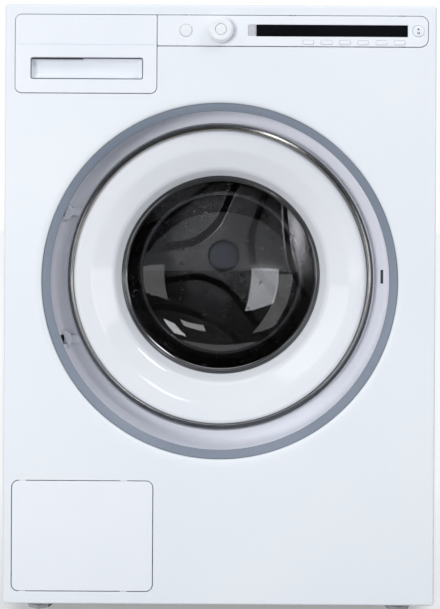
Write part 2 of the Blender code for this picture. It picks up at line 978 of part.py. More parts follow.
def make_front_panel():
    low = foot_gap + panel_roll
    high = body_height - panel_roll
    side = half_width - panel_roll
    corner = panel_corner - panel_roll
    lip = lip_radius + lip_width
    flap_opening = rectangle(
        flap_left - joint_gap, flap_right + joint_gap,
        flap_bottom - joint_gap, flap_top + joint_gap, flap_corner + joint_gap,
    )
    door_opening = circle(0, door_centre_z, lip)
    edges = (-side, side, low, high)
    bm = filled("front", [rectangle(*edges, corner), control_opening(), door_opening, flap_opening])
    folded_edge(bm, edges, corner, panel_roll, panel_return)
    reach = (-lip, lip, door_centre_z - lip, door_centre_z + lip)
    moves = []
    for k in range(1, lip_steps + 1):
        turn = math.pi / 2 * k / lip_steps
        sunk = (lip_depth - lip_tail) * (1 - math.cos(turn))
        moves.append(spread(reach, lip, -lip_width * math.sin(turn), sunk))
    moves.append(spread(reach, lip, -lip_width, lip_depth))
    fold(bm, door_opening, moves)
    panel = sheet_metal("front_panel", bm, "front", at(0, 0, 0))
    flap_x = flap_left + flap_axis_inset
    for name, edge, out in (("ear_top", flap_top, 1), ("ear_bottom", flap_bottom, -1)):
        near = edge + out * ear_gap
        far = near + out * ear_sheet
        low, high = sorted((near, far))
        ear = box(
            name, (flap_x - ear_width / 2, sheet / 2, low), (flap_x + ear_width / 2, ear_depth, high)
        )
        hole = rod(
            name + "_hole", flap_pin_radius + ear_pin_gap, (flap_x, flap_axis_depth, low - overrun),
            (flap_x, flap_axis_depth, high + overrun), pin_steps,
        )
        fuse(panel, ear)
        cut(panel, hole)
    finish(panel, "enamel")


def make_side_panel(name, side, sign):
    near = side_start + side_roll
    far = rear_inner - seam - side_roll
    low = tray_rim_z + seam + side_roll
    high = cover_bottom - seam - side_roll
    edges = (near, far, low, high) if side == "right" else (-far, -near, low, high)
    field = (
        edges[0] + field_inset, edges[1] - field_inset, low + field_inset, high - field_inset
    )
    corner = side_roll
    bm = filled(name, [rectangle(*edges, corner), rectangle(*field, field_corner)])
    folded_edge(bm, edges, corner, side_roll, side_fold)
    pressed_field(bm, field)
    panel = sheet_metal(name, bm, side, at(sign * half_width, 0, 0))
    wall = half_width - sheet + hanger_embed
    across = sorted((sign * wall, sign * (wall - hanger_reach)))
    hanger = box(
        name + "_hanger",
        (across[0], spring_depth - hanger_width / 2, spring_top_z),
        (across[1], spring_depth + hanger_width / 2, spring_top_z + hanger_sheet),
    )
    fuse(panel, hanger)
    finish(panel, "enamel")


def make_rear_panel():
    low = tray_rim_z + seam
    high = cover_bottom - seam
    side = half_width - seam
    field = (-side + field_inset, side - field_inset, rear_field_low, rear_field_high)
    outlines = [
        rectangle(-side, side, low, high, side_roll),
        rectangle(*field, field_corner),
        circle(-inlet_x, inlet_z, inlet_radius + inlet_hole_gap, small_steps),
        circle(-gland_x, gland_z, gland_radius + gland_hole_gap, small_steps),
    ]
    bm = filled("rear", outlines)
    pressed_field(bm, field)
    finish(sheet_metal("rear_panel", bm, "rear", at(0, body_depth, 0)), "enamel")


def make_top_cover():
    cover = box(
        "top_cover", (-half_width, side_start, cover_bottom), (half_width, body_depth, body_height)
    )
    soften(cover, cover_bevel)
    recess = box(
        "cover_recess",
        (-half_width + cover_edge, side_start + cover_edge, cover_bottom - overrun),
        (half_width - cover_edge, body_depth - cover_edge, cover_bottom + cover_recess),
    )
    cut(cover, recess)
    finish(cover, "enamel")


def foot_places():
    return [
        (name, side * foot_x, depth)
        for name, side, depth in (
            ("front_left", -1, foot_front_depth), ("front_right", 1, foot_front_depth),
            ("rear_left", -1, foot_rear_depth), ("rear_right", 1, foot_rear_depth),
        )
    ]


def make_base_tray():
    tray = box("base_tray", (-half_width, side_start, foot_gap), (half_width, body_depth, tray_rim_z))
    hollow = box(
        "tray_hollow",
        (-half_width + base_wall, side_start + base_wall, foot_gap + base_wall),
        (half_width - base_wall, body_depth - base_wall, tray_rim_z + overrun),
    )
    cut(tray, hollow)
    for name, x, depth in foot_places():
        hole = rod(
            "foot_hole_" + name, foot_stem_radius + foot_hole_gap, (x, depth, foot_gap - overrun),
            (x, depth, foot_gap + base_wall + overrun), pin_steps,
        )
        cut(tray, hole)
    finish(tray, "dark")


def make_feet():
    nut_top = foot_gap - seam
    nut_foot = nut_top - foot_nut_height
    profile = [
        (0, foot_stem_top), (foot_stem_radius, foot_stem_top), (foot_stem_radius, nut_top),
        (foot_nut_radius, nut_top), (foot_nut_radius, nut_foot), (foot_stem_radius, nut_foot),
        (foot_neck_radius, foot_pad_height), (foot_pad_radius, foot_pad_crest), (foot_pad_radius, 0),
        (0, 0),
    ]
    for name, x, depth in foot_places():
        axis = joint("foot_axis_" + name, at(x, depth, 0))
        foot = turned("foot_" + name, profile, (x, depth), pin_steps, upright=True)
        finish(foot, "dark", axis)


def make_door_surround():
    front = lip_depth + seam
    profile = [
        (band_outer, band_front), (band_outer, front), (band_skirt, front),
        (band_skirt, front + band_wall), (band_outer, front + band_wall),
        (band_inner + band_tip, band_edge_depth + band_wall), (band_inner, band_edge_depth),
    ]
    finish(turned("door_surround", profile, (0, door_centre_z)), "band")


def make_mouth_ring():
    rim = dish_flange_depth
    foot = dish_wall_foot - dish_fillet
    line = [
        (mouth_radius, flange_depth + mouth_rim), (mouth_radius, flange_depth),
        (step_radius - step_width, flange_depth),
        (step_radius, dish_depth), (foot, dish_depth),
        (foot + dish_fillet * math.sin(math.pi / 4), dish_depth - dish_fillet * (1 - math.cos(math.pi / 4))),
        (dish_wall_foot, dish_depth - dish_fillet),
        (dish_radius, rim + mouth_curl), (dish_radius + mouth_curl, rim), (band_skirt, rim),
    ]
    dish = turned("mouth_ring", shell(line, dish_sheet), (0, door_centre_z))
    for sign in (-1, 1):
        z = door_centre_z + sign * hinge_spread
        slot = box(
            "neck_slot_" + ("upper" if sign > 0 else "lower"),
            (slot_low_x, slot_front, z - slot_height / 2),
            (slot_high_x, dish_back + overrun, z + slot_height / 2),
        )
        cut(dish, slot)
    indicator = box(
        "lock_slot",
        (lock_slot_x - lock_slot_width / 2, dish_depth - overrun, door_centre_z - lock_slot_height / 2),
        (lock_slot_x + lock_slot_width / 2, dish_back + overrun, door_centre_z + lock_slot_height / 2),
    )
    catch = box(
        "catch_slot",
        (catch_slot_low_x, dish_depth - overrun, door_centre_z - catch_slot_height / 2),
        (catch_slot_high_x, flange_depth + dish_sheet + overrun, door_centre_z + catch_slot_height / 2),
    )
    cut(dish, indicator, catch)
    finish(dish, "dish")


def make_hinge_bracket():
    front = dish_flange_depth + dish_sheet + seam
    reach = hinge_spread + knuckle_height / 2 + seam + lug_sheet + bracket_overhang
    plate = box(
        "hinge_bracket", (bracket_left_x, front, door_centre_z - reach),
        (bracket_right_x, front + bracket_sheet, door_centre_z + reach),
    )
    for sign in (-1, 1):
        name = "upper" if sign > 0 else "lower"
        z = door_centre_z + sign * hinge_spread
        far = knuckle_height / 2 + seam + lug_sheet
        for side in (-1, 1):
            low, high = sorted((z + side * (far - lug_sheet), z + side * far))
            lug = box(
                "lug_" + name + ("_top" if side > 0 else "_foot"),
                (bracket_right_x - lug_root, front + bracket_sheet / 2, low),
                (hinge_x + lug_reach, hinge_depth + lug_reach, high),
            )
            fuse(plate, lug)
        over = far + pin_overhang
        pin = rod(
            "pin_" + name, pin_radius, (hinge_x, hinge_depth, z - over), (hinge_x, hinge_depth, z + over),
            pin_steps,
        )
        fuse(plate, pin)
    finish(plate, "steel")


def make_door_lock():
    low = door_centre_z - lock_height / 2
    front = flange_depth + dish_sheet + seam
    housing = box(
        "door_lock", (lock_low_x, front, low), (lock_high_x, front + lock_depth, low + lock_height)
    )
    soften(housing, lock_wall)
    pocket = box(
        "lock_pocket",
        (lock_low_x + lock_wall, front - overrun, door_centre_z - catch_slot_height / 2),
        (
            catch_slot_high_x + joint_gap, front + lock_depth - lock_wall,
            door_centre_z + catch_slot_height / 2,
        ),
    )
    cut(housing, pocket)
    finish(housing, "dark")


def make_door(axis):
    centre = (0, door_centre_z)
    trim_inner = trim_outer - trim_width
    trim = [
        (trim_inner + trim_width * across, trim_front + trim_height * along)
        for across, along in trim_shape_shares
    ]
    finish(turned("door_trim_ring", trim, centre), "chrome", axis)

    skirt = trim_inner - trim_fit
    line = [
        (
            glass_rim_radius + (skirt - glass_rim_radius) * across,
            frame_front + (glass_rim_depth - frame_front) * along,
        )
        for across, along in frame_shape_shares
    ]
    line.append((skirt, frame_skirt_depth))
    finish(turned("door_frame", shell(line, frame_wall), centre), "gloss", axis)

    front = glass_rim_depth + seam
    bowl_radius = glass_rim_radius - bowl_inset
    bowl = [
        (bowl_radius * across, front + bowl_depth * along) for across, along in bowl_shape_shares
    ]
    bowl.append((glass_rim_radius + glass_flange, front))
    finish(turned("door_glass", shell(bowl, glass_wall), centre), "glass", axis)

    outer = skirt - frame_wall - back_fit
    back = [
        (outer, back_plate_depth - back_skirt), (outer, back_plate_depth),
        (back_cone_radius, back_plate_depth),
        (back_foot_radius + back_wall, back_foot_depth - back_cone_rise),
        (back_foot_radius, glass_rim_depth), (back_foot_radius, back_foot_depth),
        (glass_rim_radius + back_lip, back_foot_depth),
    ]
    finish(turned("door_back_ring", shell(back, back_wall), centre), "plastic", axis)

    front = back_plate_depth + seam
    middle = hook_x
    hook = [
        (middle - hook_base, front), (middle + hook_base, front), (middle + hook_base, front + hook_sheet),
        (middle + hook_sheet / 2, front + hook_sheet),
        (middle + hook_sheet / 2, hook_depth - hook_nose_length),
        (middle + hook_sheet / 2 + hook_nose, hook_depth - hook_nose_length),
        (middle + hook_sheet / 2 + hook_nose, hook_depth - hook_nose_length / 2),
        (middle + hook_sheet / 2, hook_depth), (middle - hook_sheet / 2, hook_depth),
        (middle - hook_sheet / 2, front + hook_sheet), (middle - hook_base, front + hook_sheet),
    ]
    low = door_centre_z - hook_height / 2
    finish(slab("door_hook", [hook], "top", low, low + hook_height), "steel", axis)
    make_hinge_leaf(axis)


# Steel leaf behind the door. Each gooseneck follows a circle about the pins, so that it slides
# through its slot in the dish as the door swings.
def make_hinge_leaf(axis):
    front = back_plate_depth + seam
    middle = front + neck_sheet / 2
    reach = hinge_spread + neck_height / 2
    span = math.asin(reach / leaf_radius)
    outline = [(leaf_inner_x, door_centre_z + reach), (leaf_inner_x, door_centre_z - reach)]
    for k in range(leaf_arc_steps + 1):
        turn = math.pi + span - 2 * span * k / leaf_arc_steps
        outline.append((leaf_radius * math.cos(turn), door_centre_z + leaf_radius * math.sin(turn)))
    leaf = slab("hinge_leaf", [outline], "front", front, front + neck_sheet)
    start = math.asin((middle - hinge_depth) / neck_radius)
    path = [(leaf_inner_x - neck_height / 2, middle)]
    for k in range(neck_steps + 1):
        turn = start + neck_sweep * k / neck_steps
        path.append((hinge_x + neck_radius * math.cos(turn), hinge_depth + neck_radius * math.sin(turn)))
    path.append((hinge_x, hinge_depth))
    for sign in (-1, 1):
        name = "upper" if sign > 0 else "lower"
        z = door_centre_z + sign * hinge_spread
        neck = slab(
            "neck_" + name, [ribbon(path, neck_sheet)], "top", z - neck_height / 2, z + neck_height / 2
        )
        half = knuckle_height / 2
        knuckle = rod(
            "knuckle_" + name, knuckle_radius, (hinge_x, hinge_depth, z - half),
            (hinge_x, hinge_depth, z + half), pin_steps,
        )
        bore = rod(
            "bore_" + name, pin_radius + pin_gap, (hinge_x, hinge_depth, z - half - overrun),
            (hinge_x, hinge_depth, z + half + overrun), pin_steps,
        )
        fuse(leaf, neck, knuckle)
        cut(leaf, bore)
    finish(leaf, "steel", axis)


def strip_outline(inset):
    left = drawer_right + opening_gap + inset
    right = strip_right - inset
    corner = strip_corner - inset
    corners = (
        (left, strip_bottom + inset, 0), (right, strip_bottom + inset, corner),
        (right, strip_top - inset, corner), (left, strip_top - inset, 0),
    )
    return rounded(corners)


def option_places():
    return [option_first_x + k * option_pitch for k in range(option_count)]


def make_control_panel():
    holes = [
        circle(power_x, power_z, power_radius + button_gap, small_steps),
        circle(start_x, start_z, start_radius + button_gap, small_steps),
        circle(knob_x, knob_z, knob_shaft_radius + knob_shaft_gap, pin_steps),
        rectangle(
            window_left - window_sink, window_right + window_sink,
            window_bottom - window_sink, window_top + window_sink, window_corner + window_sink,
        ),
    ]
    for x in option_places():
        holes.append(rectangle(
            x - option_width / 2 - button_gap, x + option_width / 2 + button_gap,
            option_z - option_height / 2 - button_gap, option_z + option_height / 2 + button_gap,
            option_height / 2 + button_gap,
        ))
    back = strip_wall - face_proud
    panel = slab("control_panel", [strip_outline(0)] + holes, "front", -face_proud, back)
    rims = [strip_outline(strip_rim_inset), strip_outline(strip_rim_inset + strip_rim_wall)]
    rim = slab("strip_rim", rims, "front", back - strip_wall / 2, strip_rim_depth)
    fuse(panel, rim)
    finish(panel, "enamel")


def make_display_window():
    outline = rectangle(window_left, window_right, window_bottom, window_top, window_corner)
    front = window_sink - face_proud
    finish(slab("display_window", [outline], "front", front, front + window_sheet), "black")


def make_control_board():
    width = board_right - board_left
    low = board_middle_z - board_height / 2
    back = board_depth + board_sheet
    board = box(
        "control_board", (board_left, board_depth, low), (board_right, back, low + board_height)
    )
    for index, (left, right, foot, top, forward, behind) in enumerate(board_parts_share):
        near = board_depth - board_parts_depth * forward
        part = box(
            "board_part_" + str(index + 1), (board_left + width * left, near, low + board_height * foot),
            (board_left + width * right, back + board_parts_depth * behind, low + board_height * top),
        )
        fuse(board, part)
    finish(board, "board")


# A push button: crowned cap, flange that stops behind the strip, and a stem to the switch
def push_button(name, x, z, half_width, half_height, skirt, look, steps):
    axis = joint(name + "_axis", at(x, 0, z))

    def outline(sides, top, foot):
        across, up, down = half_width + sides, half_height + top, half_height + foot
        return rectangle(x - across, x + across, z - down, z + up, half_height + min(sides, foot), steps)

    stem = rectangle(
        x - button_stem_radius, x + button_stem_radius, z - button_stem_radius, z + button_stem_radius,
        button_stem_radius, steps,
    )
    front = -face_proud - button_proud
    flange = strip_wall - face_proud + seam
    crown, plain = outline(-button_crown, -button_crown, -button_crown), outline(0, 0, 0)
    wide = outline(button_flange_reach, button_flange_reach, skirt)
    rings = [
        (crown, front), (plain, front + button_crown), (plain, flange), (wide, flange),
        (wide, flange + button_flange), (stem, flange + button_flange), (stem, button_stem_depth),
    ]
    finish(lofted(name, rings), look, axis)


def make_buttons():
    push_button(
        "power_button", power_x, power_z, power_radius, power_radius, button_flange_reach, "gloss",
        round_steps,
    )
    push_button(
        "start_pause_button", start_x, start_z, start_radius, start_radius, button_flange_reach, "gloss",
        round_steps,
    )
    for index, x in enumerate(option_places()):
        push_button(
            "option_button_" + str(index + 1), x, option_z, option_width / 2, option_height / 2, 0,
            "enamel", arc_steps,
        )


def make_knob():
    front = -face_proud - knob_height
    back = -face_proud - seam
    edge = knob_radius - knob_crown
    bore = cap_radius + cap_gap
    knob = [
        (0, front + cap_bore_depth), (bore, front + cap_bore_depth), (bore, front + seam),
        (bore + knob_lead, front), (edge, front), (edge + knob_crown * knob_bulge_share, front + knob_lead),
        (knob_radius, front + knob_crown), (knob_radius, back), (knob_shaft_radius, back),
        (knob_shaft_radius, knob_shaft_end), (0, knob_shaft_end),
    ]
    axis = joint("selector_axis", at(knob_x, 0, knob_z))
    finish(turned("selector_knob", knob, (knob_x, knob_z), tub_steps), "gloss", axis)
    top = front + cap_sink
    cap = [
        (0, top), (cap_radius - knob_lead, top), (cap_radius, top + knob_lead),
        (cap_radius, top + cap_height), (0, top + cap_height),
    ]
    press = joint("knob_cap_axis", at(knob_x, 0, knob_z))
    finish(turned("knob_cap", cap, (knob_x, knob_z), tub_steps), "gloss", press)


def make_drawer(axis):
    corners = (
        (drawer_left, drawer_bottom, drawer_corner), (drawer_right, drawer_bottom, drawer_corner),
        (drawer_right, strip_top, 0), (drawer_left, strip_top, drawer_corner),
    )
    back = drawer_block - face_proud
    front = slab("drawer_front", [rounded(corners)], "front", -face_proud, back)
    opening = rectangle(recess_left, recess_right, recess_bottom, recess_top, recess_corner)
    floor = recess_depth - face_proud
    recess = slab("finger_recess", [opening], "front", -face_proud - overrun, floor)
    undercut = box(
        "finger_undercut",
        (recess_left + recess_undercut_inset, recess_lip, recess_top - recess_undercut),
        (recess_right - recess_undercut_inset, floor - face_proud, recess_top + recess_undercut),
    )
    groove = box(
        "drawer_groove", (drawer_left - overrun, -face_proud - overrun, drawer_groove_z - drawer_groove / 2),
        (drawer_right + overrun, drawer_groove - face_proud, drawer_groove_z + drawer_groove / 2),
    )
    cut(front, recess, undercut, groove)
    finish(front, "enamel", axis)

    inset = housing_inset + housing_wall + tray_clearance
    left, right = drawer_left + inset, drawer_right - inset
    floor_z = housing_bottom + housing_wall + tray_floor_gap
    start = back + seam
    tray = box("drawer_tray", (left, start, floor_z), (right, start + tray_length, floor_z + tray_height))
    edge = left
    for index, share in enumerate(tray_shares):
        far = edge + (right - left) * share
        hollow = box(
            "compartment_" + str(index + 1), (edge + tray_wall, start + tray_wall, floor_z + tray_wall),
            (far - tray_wall / 2, start + tray_length - tray_wall, floor_z + tray_height + overrun),
        )
        cut(tray, hollow)
        edge = far - tray_wall / 2
    finish(tray, "plastic", axis)


def make_drawer_housing():
    left, right = drawer_left + housing_inset, drawer_right - housing_inset
    rear = side_start + housing_length
    top = cover_bottom - seam
    housing = box("drawer_housing", (left, side_start, housing_bottom), (right, rear, top))
    middle = (left + right) / 2
    depth = rear - spout_inset
    spout = rod(
        "spout", spout_radius, (middle, depth, housing_bottom - spout_height),
        (middle, depth, housing_bottom + housing_wall / 2),
    )
    hollow = box(
        "housing_hollow", (left + housing_wall, side_start - overrun, housing_bottom + housing_wall),
        (right - housing_wall, rear - housing_wall, top - housing_wall),
    )
    drain = rod(
        "spout_bore", spout_radius - housing_wall, (middle, depth, housing_bottom - spout_height - overrun),
        (middle, depth, housing_bottom + housing_wall + overrun),
    )
    fuse(housing, spout)
    cut(housing, hollow, drain)
    finish(housing, "plastic")


def make_service_flap():
    x = flap_left + flap_axis_inset
    axis = joint("flap_axis", at(x, flap_axis_depth, (flap_bottom + flap_top) / 2))
    outline = rectangle(flap_left, flap_right, flap_bottom, flap_top, flap_corner)
    flap = slab("service_flap", [outline], "front", 0, flap_sheet)
    soften(flap, flap_edge)
    barrel = rod(
        "flap_barrel", flap_barrel_radius, (x, flap_axis_depth, flap_bottom + flap_barrel_inset),
        (x, flap_axis_depth, flap_top - flap_barrel_inset), pin_steps,
    )
    pin = rod(
        "flap_pin", flap_pin_radius, (x, flap_axis_depth, flap_bottom - flap_pin_reach),
        (x, flap_axis_depth, flap_top + flap_pin_reach), pin_steps,
    )
    fuse(flap, barrel, pin)
    for index in range(flap_rib_count):
        z = flap_bottom + (flap_top - flap_bottom) * (index + 1) / (flap_rib_count + 1)
        rib = box(
            "flap_rib_" + str(index + 1), (flap_left + flap_rib_inset, flap_sheet / 2, z - flap_rib / 2),
            (flap_right - flap_rib_inset, flap_sheet + flap_rib_depth, z + flap_rib / 2),
        )
        fuse(flap, rib)
    finish(flap, "enamel", axis)


def make_filter():
    disc_front = chamber_front - seam - plug_disc
    disc_radius = chamber_radius - plug_disc_inset
    plug_radius = chamber_radius - chamber_wall - plug_gap
    plug_end = chamber_front - seam + plug_length
    profile = [
        (0, disc_front), (disc_radius, disc_front), (disc_radius, chamber_front - seam),
        (plug_radius, chamber_front - seam), (plug_radius, plug_end), (0, plug_end),
    ]
    axis = joint("filter_axis", at(filter_x, disc_front, filter_z))
    cap = turned("filter_cap", profile, (filter_x, filter_z), small_steps)
    grip = box(
        "filter_grip",
        (filter_x - plug_grip_length / 2, disc_front - plug_grip_height, filter_z - plug_grip_width / 2),
        (filter_x + plug_grip_length / 2, disc_front + plug_disc / 2, filter_z + plug_grip_width / 2),
    )
    fuse(cap, grip)
    finish(cap, "dark", axis)

    bore = chamber_radius - chamber_wall
    chamber_end = chamber_front + chamber_length
    pump_end = chamber_end + pump_length
    motor_tail = pump_end + pump_motor_length
    profile = [
        (0, chamber_end - chamber_floor), (bore, chamber_end - chamber_floor), (bore, chamber_front),
        (chamber_radius, chamber_front), (chamber_radius, chamber_end), (pump_radius, chamber_end),
        (pump_radius, pump_end), (pump_motor_radius, pump_end), (pump_motor_radius, motor_tail),
        (0, motor_tail),
    ]
    pump = turned("pump_housing", profile, (filter_x, filter_z), small_steps)
    leg = box(
        "pump_leg",
        (filter_x - pump_leg_width / 2, chamber_end - pump_leg_width, foot_gap + base_wall + seam),
        (filter_x + pump_leg_width / 2, chamber_end, filter_z - bore - chamber_wall / 2),
    )
    fuse(pump, leg)
    finish(pump, "grey")


def make_rear_connections():
    back = rear_inner - seam
    valve = box(
        "inlet_valve",
        (inlet_x - inlet_body_width / 2, back - inlet_body_depth, inlet_z - inlet_body_height / 2),
        (inlet_x + inlet_body_width / 2, back, inlet_z + inlet_body_height / 2),
    )
    end = body_depth + spigot_reach
    spigot = rod("spigot", inlet_radius, (inlet_x, back - overrun, inlet_z), (inlet_x, end, inlet_z))
    bore = rod(
        "spigot_bore", inlet_bore, (inlet_x, back - inlet_body_depth / 2, inlet_z),
        (inlet_x, end + overrun, inlet_z),
    )
    fuse(valve, spigot)
    cut(valve, bore)
    finish(valve, "plastic")
    inner = back - gland_inner_depth
    outer = body_depth + seam
    nose = body_depth + gland_nose
    profile = [
        (gland_bore, inner), (gland_radius + gland_clip, inner), (gland_radius + gland_clip, back),
        (gland_radius, back), (gland_radius, outer), (gland_flange, outer),
        (gland_flange - gland_taper, nose - gland_nose / 2), (gland_bore + gland_taper, nose),
        (gland_bore, nose),
    ]
    finish(turned("mains_gland", profile, (gland_x, gland_z), small_steps), "dark")


# Lug on the tub's skin, from the skin's middle to a flat seat above or below
def saddle(name, left, right, seat_z, start, end):
    radius = tub_radius * math.cos(math.pi / tub_steps) - seam / 2
    sign = 1 if seat_z > door_centre_z else -1
    outline = [(left, seat_z), (right, seat_z)]
    for k in range(saddle_steps + 1):
        x = right + (left - right) * k / saddle_steps
        outline.append((x, door_centre_z + sign * math.sqrt(radius ** 2 - x ** 2)))
    return slab(name, [outline], "front", start, end)


def make_tub(axis):
    centre = (0, door_centre_z)
    corner = tub_corner
    front_line = [
        (tub_neck_radius + tub_wall, tub_neck_depth), (tub_neck_radius + tub_wall, tub_front_depth),
        (tub_radius - corner, tub_front_depth),
        (tub_radius - corner * tub_corner_share, tub_front_depth + corner * tub_corner_share),
        (tub_radius, tub_front_depth + corner), (tub_radius, tub_seam_depth - tub_wall),
        (tub_seam_radius, tub_seam_depth - tub_wall),
    ]
    front = turned("tub_front", shell(front_line, tub_wall), centre, tub_steps)
    heater_drop = math.sqrt(heater_ring_radius ** 2 - heater_half_width ** 2)
    for sign in (-1, 1):
        x = sign * heater_half_width
        z = door_centre_z - heater_drop
        hole = rod(
            "heater_hole_" + ("right" if sign > 0 else "left"), heater_radius + heater_hole_gap,
            (x, tub_front_depth - overrun, z), (x, tub_front_depth + corner + overrun, z), pin_steps,
        )
        cut(front, hole)
    finish(front, "grey", axis)

    cup = [
        (tub_seam_radius, tub_seam_depth + seam + tub_wall), (tub_radius, tub_seam_depth + seam + tub_wall),
        (tub_radius, tub_rear_depth - corner),
        (tub_radius - corner * tub_corner_share, tub_rear_depth - corner * tub_corner_share),
        (tub_radius - corner, tub_rear_depth), (boss_root_radius, tub_rear_depth),
    ]
    skin = shell(cup, tub_wall)
    seat = bearing_outer + bearing_gap
    seat_front = bearing_front - seam
    boss = [
        (boss_root_radius - boss_flare, tub_rear_depth + boss_flare), (boss_radius, boss_shoulder_depth),
        (boss_radius, boss_end), (seat, boss_end), (seat, seat_front),
        (bearing_shoulder_radius, seat_front), (bearing_shoulder_radius, seat_front - bearing_shoulder),
        (boss_root_radius - boss_flare * 2, tub_rear_depth + boss_hollow),
    ]
    rear = turned("tub_rear", skin[:len(cup)] + boss + skin[len(cup):], centre, tub_steps)
    for sign, side in ((-1, "left"), (1, "right")):
        for name, x, width, seat_z in (
            ("spring_lug_", spring_x, spring_lug_width, spring_seat_z),
            ("damper_lug_", damper_x, damper_lug_width, damper_seat_z),
        ):
            lug = saddle(
                name + side, sign * x - width / 2, sign * x + width / 2, seat_z,
                spring_depth - lug_length / 2, spring_depth + lug_length / 2,
            )
            fuse(rear, lug)
    half = motor_lug_width / 2
    lug = saddle(
        "motor_lug", motor_x - half, motor_x + half, motor_seat_z, motor_lug_start, motor_lug_end
    )
    fuse(rear, lug)
    finish(rear, "grey", axis)

    ring = [
        (shaft_radius + shaft_gap, bearing_front), (bearing_outer - bearing_chamfer, bearing_front),
        (bearing_outer, bearing_front + bearing_chamfer), (bearing_outer, bearing_front + bearing_length),
        (shaft_radius + shaft_gap, bearing_front + bearing_length),
    ]
    finish(turned("drum_bearing", ring, centre, tub_steps), "steel", axis)


def make_gasket():
    axis = joint("gasket_axis", at(0, gasket_fold_front, door_centre_z))
    reach = gasket_fold_back - gasket_fold_front
    line = [
        (gasket_inner, flange_depth + dish_sheet + seam), (gasket_inner, gasket_fold_front),
        (gasket_fold_radius, gasket_fold_front + reach * gasket_fold_share),
        (gasket_end_radius, gasket_fold_back), (gasket_end_radius, gasket_end_depth),
    ]
    finish(turned("door_gasket", shell(line, -gasket_wall), (0, door_centre_z)), "rubber", axis)


def make_counterweight(axis):
    radius = tub_radius + weight_gap
    tub_top = door_centre_z + tub_radius
    weight_top = tub_top + (cover_bottom - tub_top) * weight_share
    corners = [(weight_right, weight_top, weight_corner), (weight_left, weight_top, weight_corner)]
    for k in range(weight_steps + 1):
        x = weight_left + (weight_right - weight_left) * k / weight_steps
        corners.append((x, door_centre_z + math.sqrt(radius ** 2 - x ** 2), 0))
    weight = slab("counterweight", [rounded(corners)], "front", weight_front, weight_rear)
    soften(weight, weight_edge)
    finish(weight, "iron", axis)


def make_heater(axis):
    z = door_centre_z - math.sqrt(heater_ring_radius ** 2 - heater_half_width ** 2)
    path = [(-heater_half_width, heater_start, z)]
    for k in range(heater_steps + 1):
        turn = math.pi * k / heater_steps
        x = -heater_half_width * math.cos(turn)
        depth = heater_end - heater_half_width + heater_half_width * math.sin(turn)
        path.append((x, depth, door_centre_z - math.sqrt(heater_ring_radius ** 2 - x ** 2)))
    path.append((heater_half_width, heater_start, z))
    finish(tube("heater", path, heater_radius), "steel", axis)


def make_suspension(axis):
    for side, sign in (("left", -1), ("right", 1)):
        x = sign * spring_x
        low = spring_seat_z + seam
        high = spring_top_z - seam
        coil_radius = spring_radius - wire_radius
        path = []
        for k in range(spring_turns * spring_turn_steps + 1):
            turn = 2 * math.pi * k / spring_turn_steps
            share = k / (spring_turns * spring_turn_steps)
            path.append((
                x + coil_radius * math.cos(turn), spring_depth + coil_radius * math.sin(turn),
                low + wire_radius + (high - low - 2 * wire_radius) * share,
            ))
        hang = joint("spring_axis_" + side, at(x, spring_depth, high))
        finish(tube("spring_" + side, path, wire_radius), "steel", hang)

        x = sign * damper_x
        base = foot_gap + base_wall + seam
        bore = rod_radius + damper_bore_gap
        cylinder = [
            (0, base + damper_bottom), (bore, base + damper_bottom), (bore, damper_top),
            (bore + damper_wall, damper_top), (bore + damper_wall, base + damper_foot_height),
            (damper_foot_radius, base + damper_foot_height), (damper_foot_radius, base), (0, base),
        ]
        piece = turned("damper_cylinder_" + side, cylinder, (x, damper_depth), small_steps, upright=True)
        finish(piece, "dark")
        piston = rod(
            "damper_rod_" + side, rod_radius, (x, damper_depth, rod_bottom),
            (x, damper_depth, damper_seat_z - seam),
        )
        finish(piston, "steel", axis)


def lifter_outline(turn, inset):
    along = Vector((math.cos(turn), math.sin(turn)))
    across = Vector((-along.y, along.x))
    foot = drum_radius * math.cos(math.pi / tub_steps) - drum_sheet / 2
    crest = drum_radius - lifter_height + inset
    centre = Vector((0, door_centre_z))
    return [
        tuple(centre + along * foot - across * lifter_foot / 2),
        tuple(centre + along * crest - across * lifter_crest / 2),
        tuple(centre + along * crest + across * lifter_crest / 2),
        tuple(centre + along * foot + across * lifter_foot / 2),
    ]


def make_drum_shell(axis):
    rim = drum_radius - drum_corner
    line = [
        (drum_mouth, drum_front + drum_lip), (drum_mouth + drum_curl, drum_front + drum_curl / 2),
        (drum_mouth + drum_curl * 2, drum_front), (rim, drum_front + drum_cone),
        (drum_radius - drum_curl / 2, drum_front + drum_cone + drum_curl),
        (drum_radius, drum_front + drum_cone + drum_corner), (drum_radius, drum_end),
    ]
    drum = turned("drum_shell", shell(line, drum_sheet), (0, door_centre_z), tub_steps)
    for k in range(lifter_count):
        turn = lifter_turn + 2 * math.pi * k / lifter_count
        low, full = lifter_outline(turn, lifter_slope), lifter_outline(turn, 0)
        lifter = lofted("lifter_" + str(k + 1), [
            (low, lifter_start), (full, lifter_start + lifter_slope),
            (full, lifter_end - lifter_slope), (low, lifter_end),
        ])
        fuse(drum, lifter)
    finish(drum, "drum", axis)


# Outline of the three-armed star, drawn in by an inset
def star_outline(inset):
    corners = []
    width = star_half_width - inset
    length = star_length - inset
    crotch = width / math.sin(math.pi / 3)
    for k in range(3):
        turn = star_turn + 2 * math.pi * k / 3
        along = Vector((math.cos(turn), math.sin(turn)))
        across = Vector((-along.y, along.x))
        meet = Matrix.Rotation(-math.pi / 3, 2) @ along * crotch
        for place, radius in (
            (meet, star_crotch + inset), (along * length - across * width, star_tip - inset),
            (along * length + across * width, star_tip - inset),
        ):
            corners.append((place.x, door_centre_z + place.y, radius))
    return rounded(corners, star_steps)


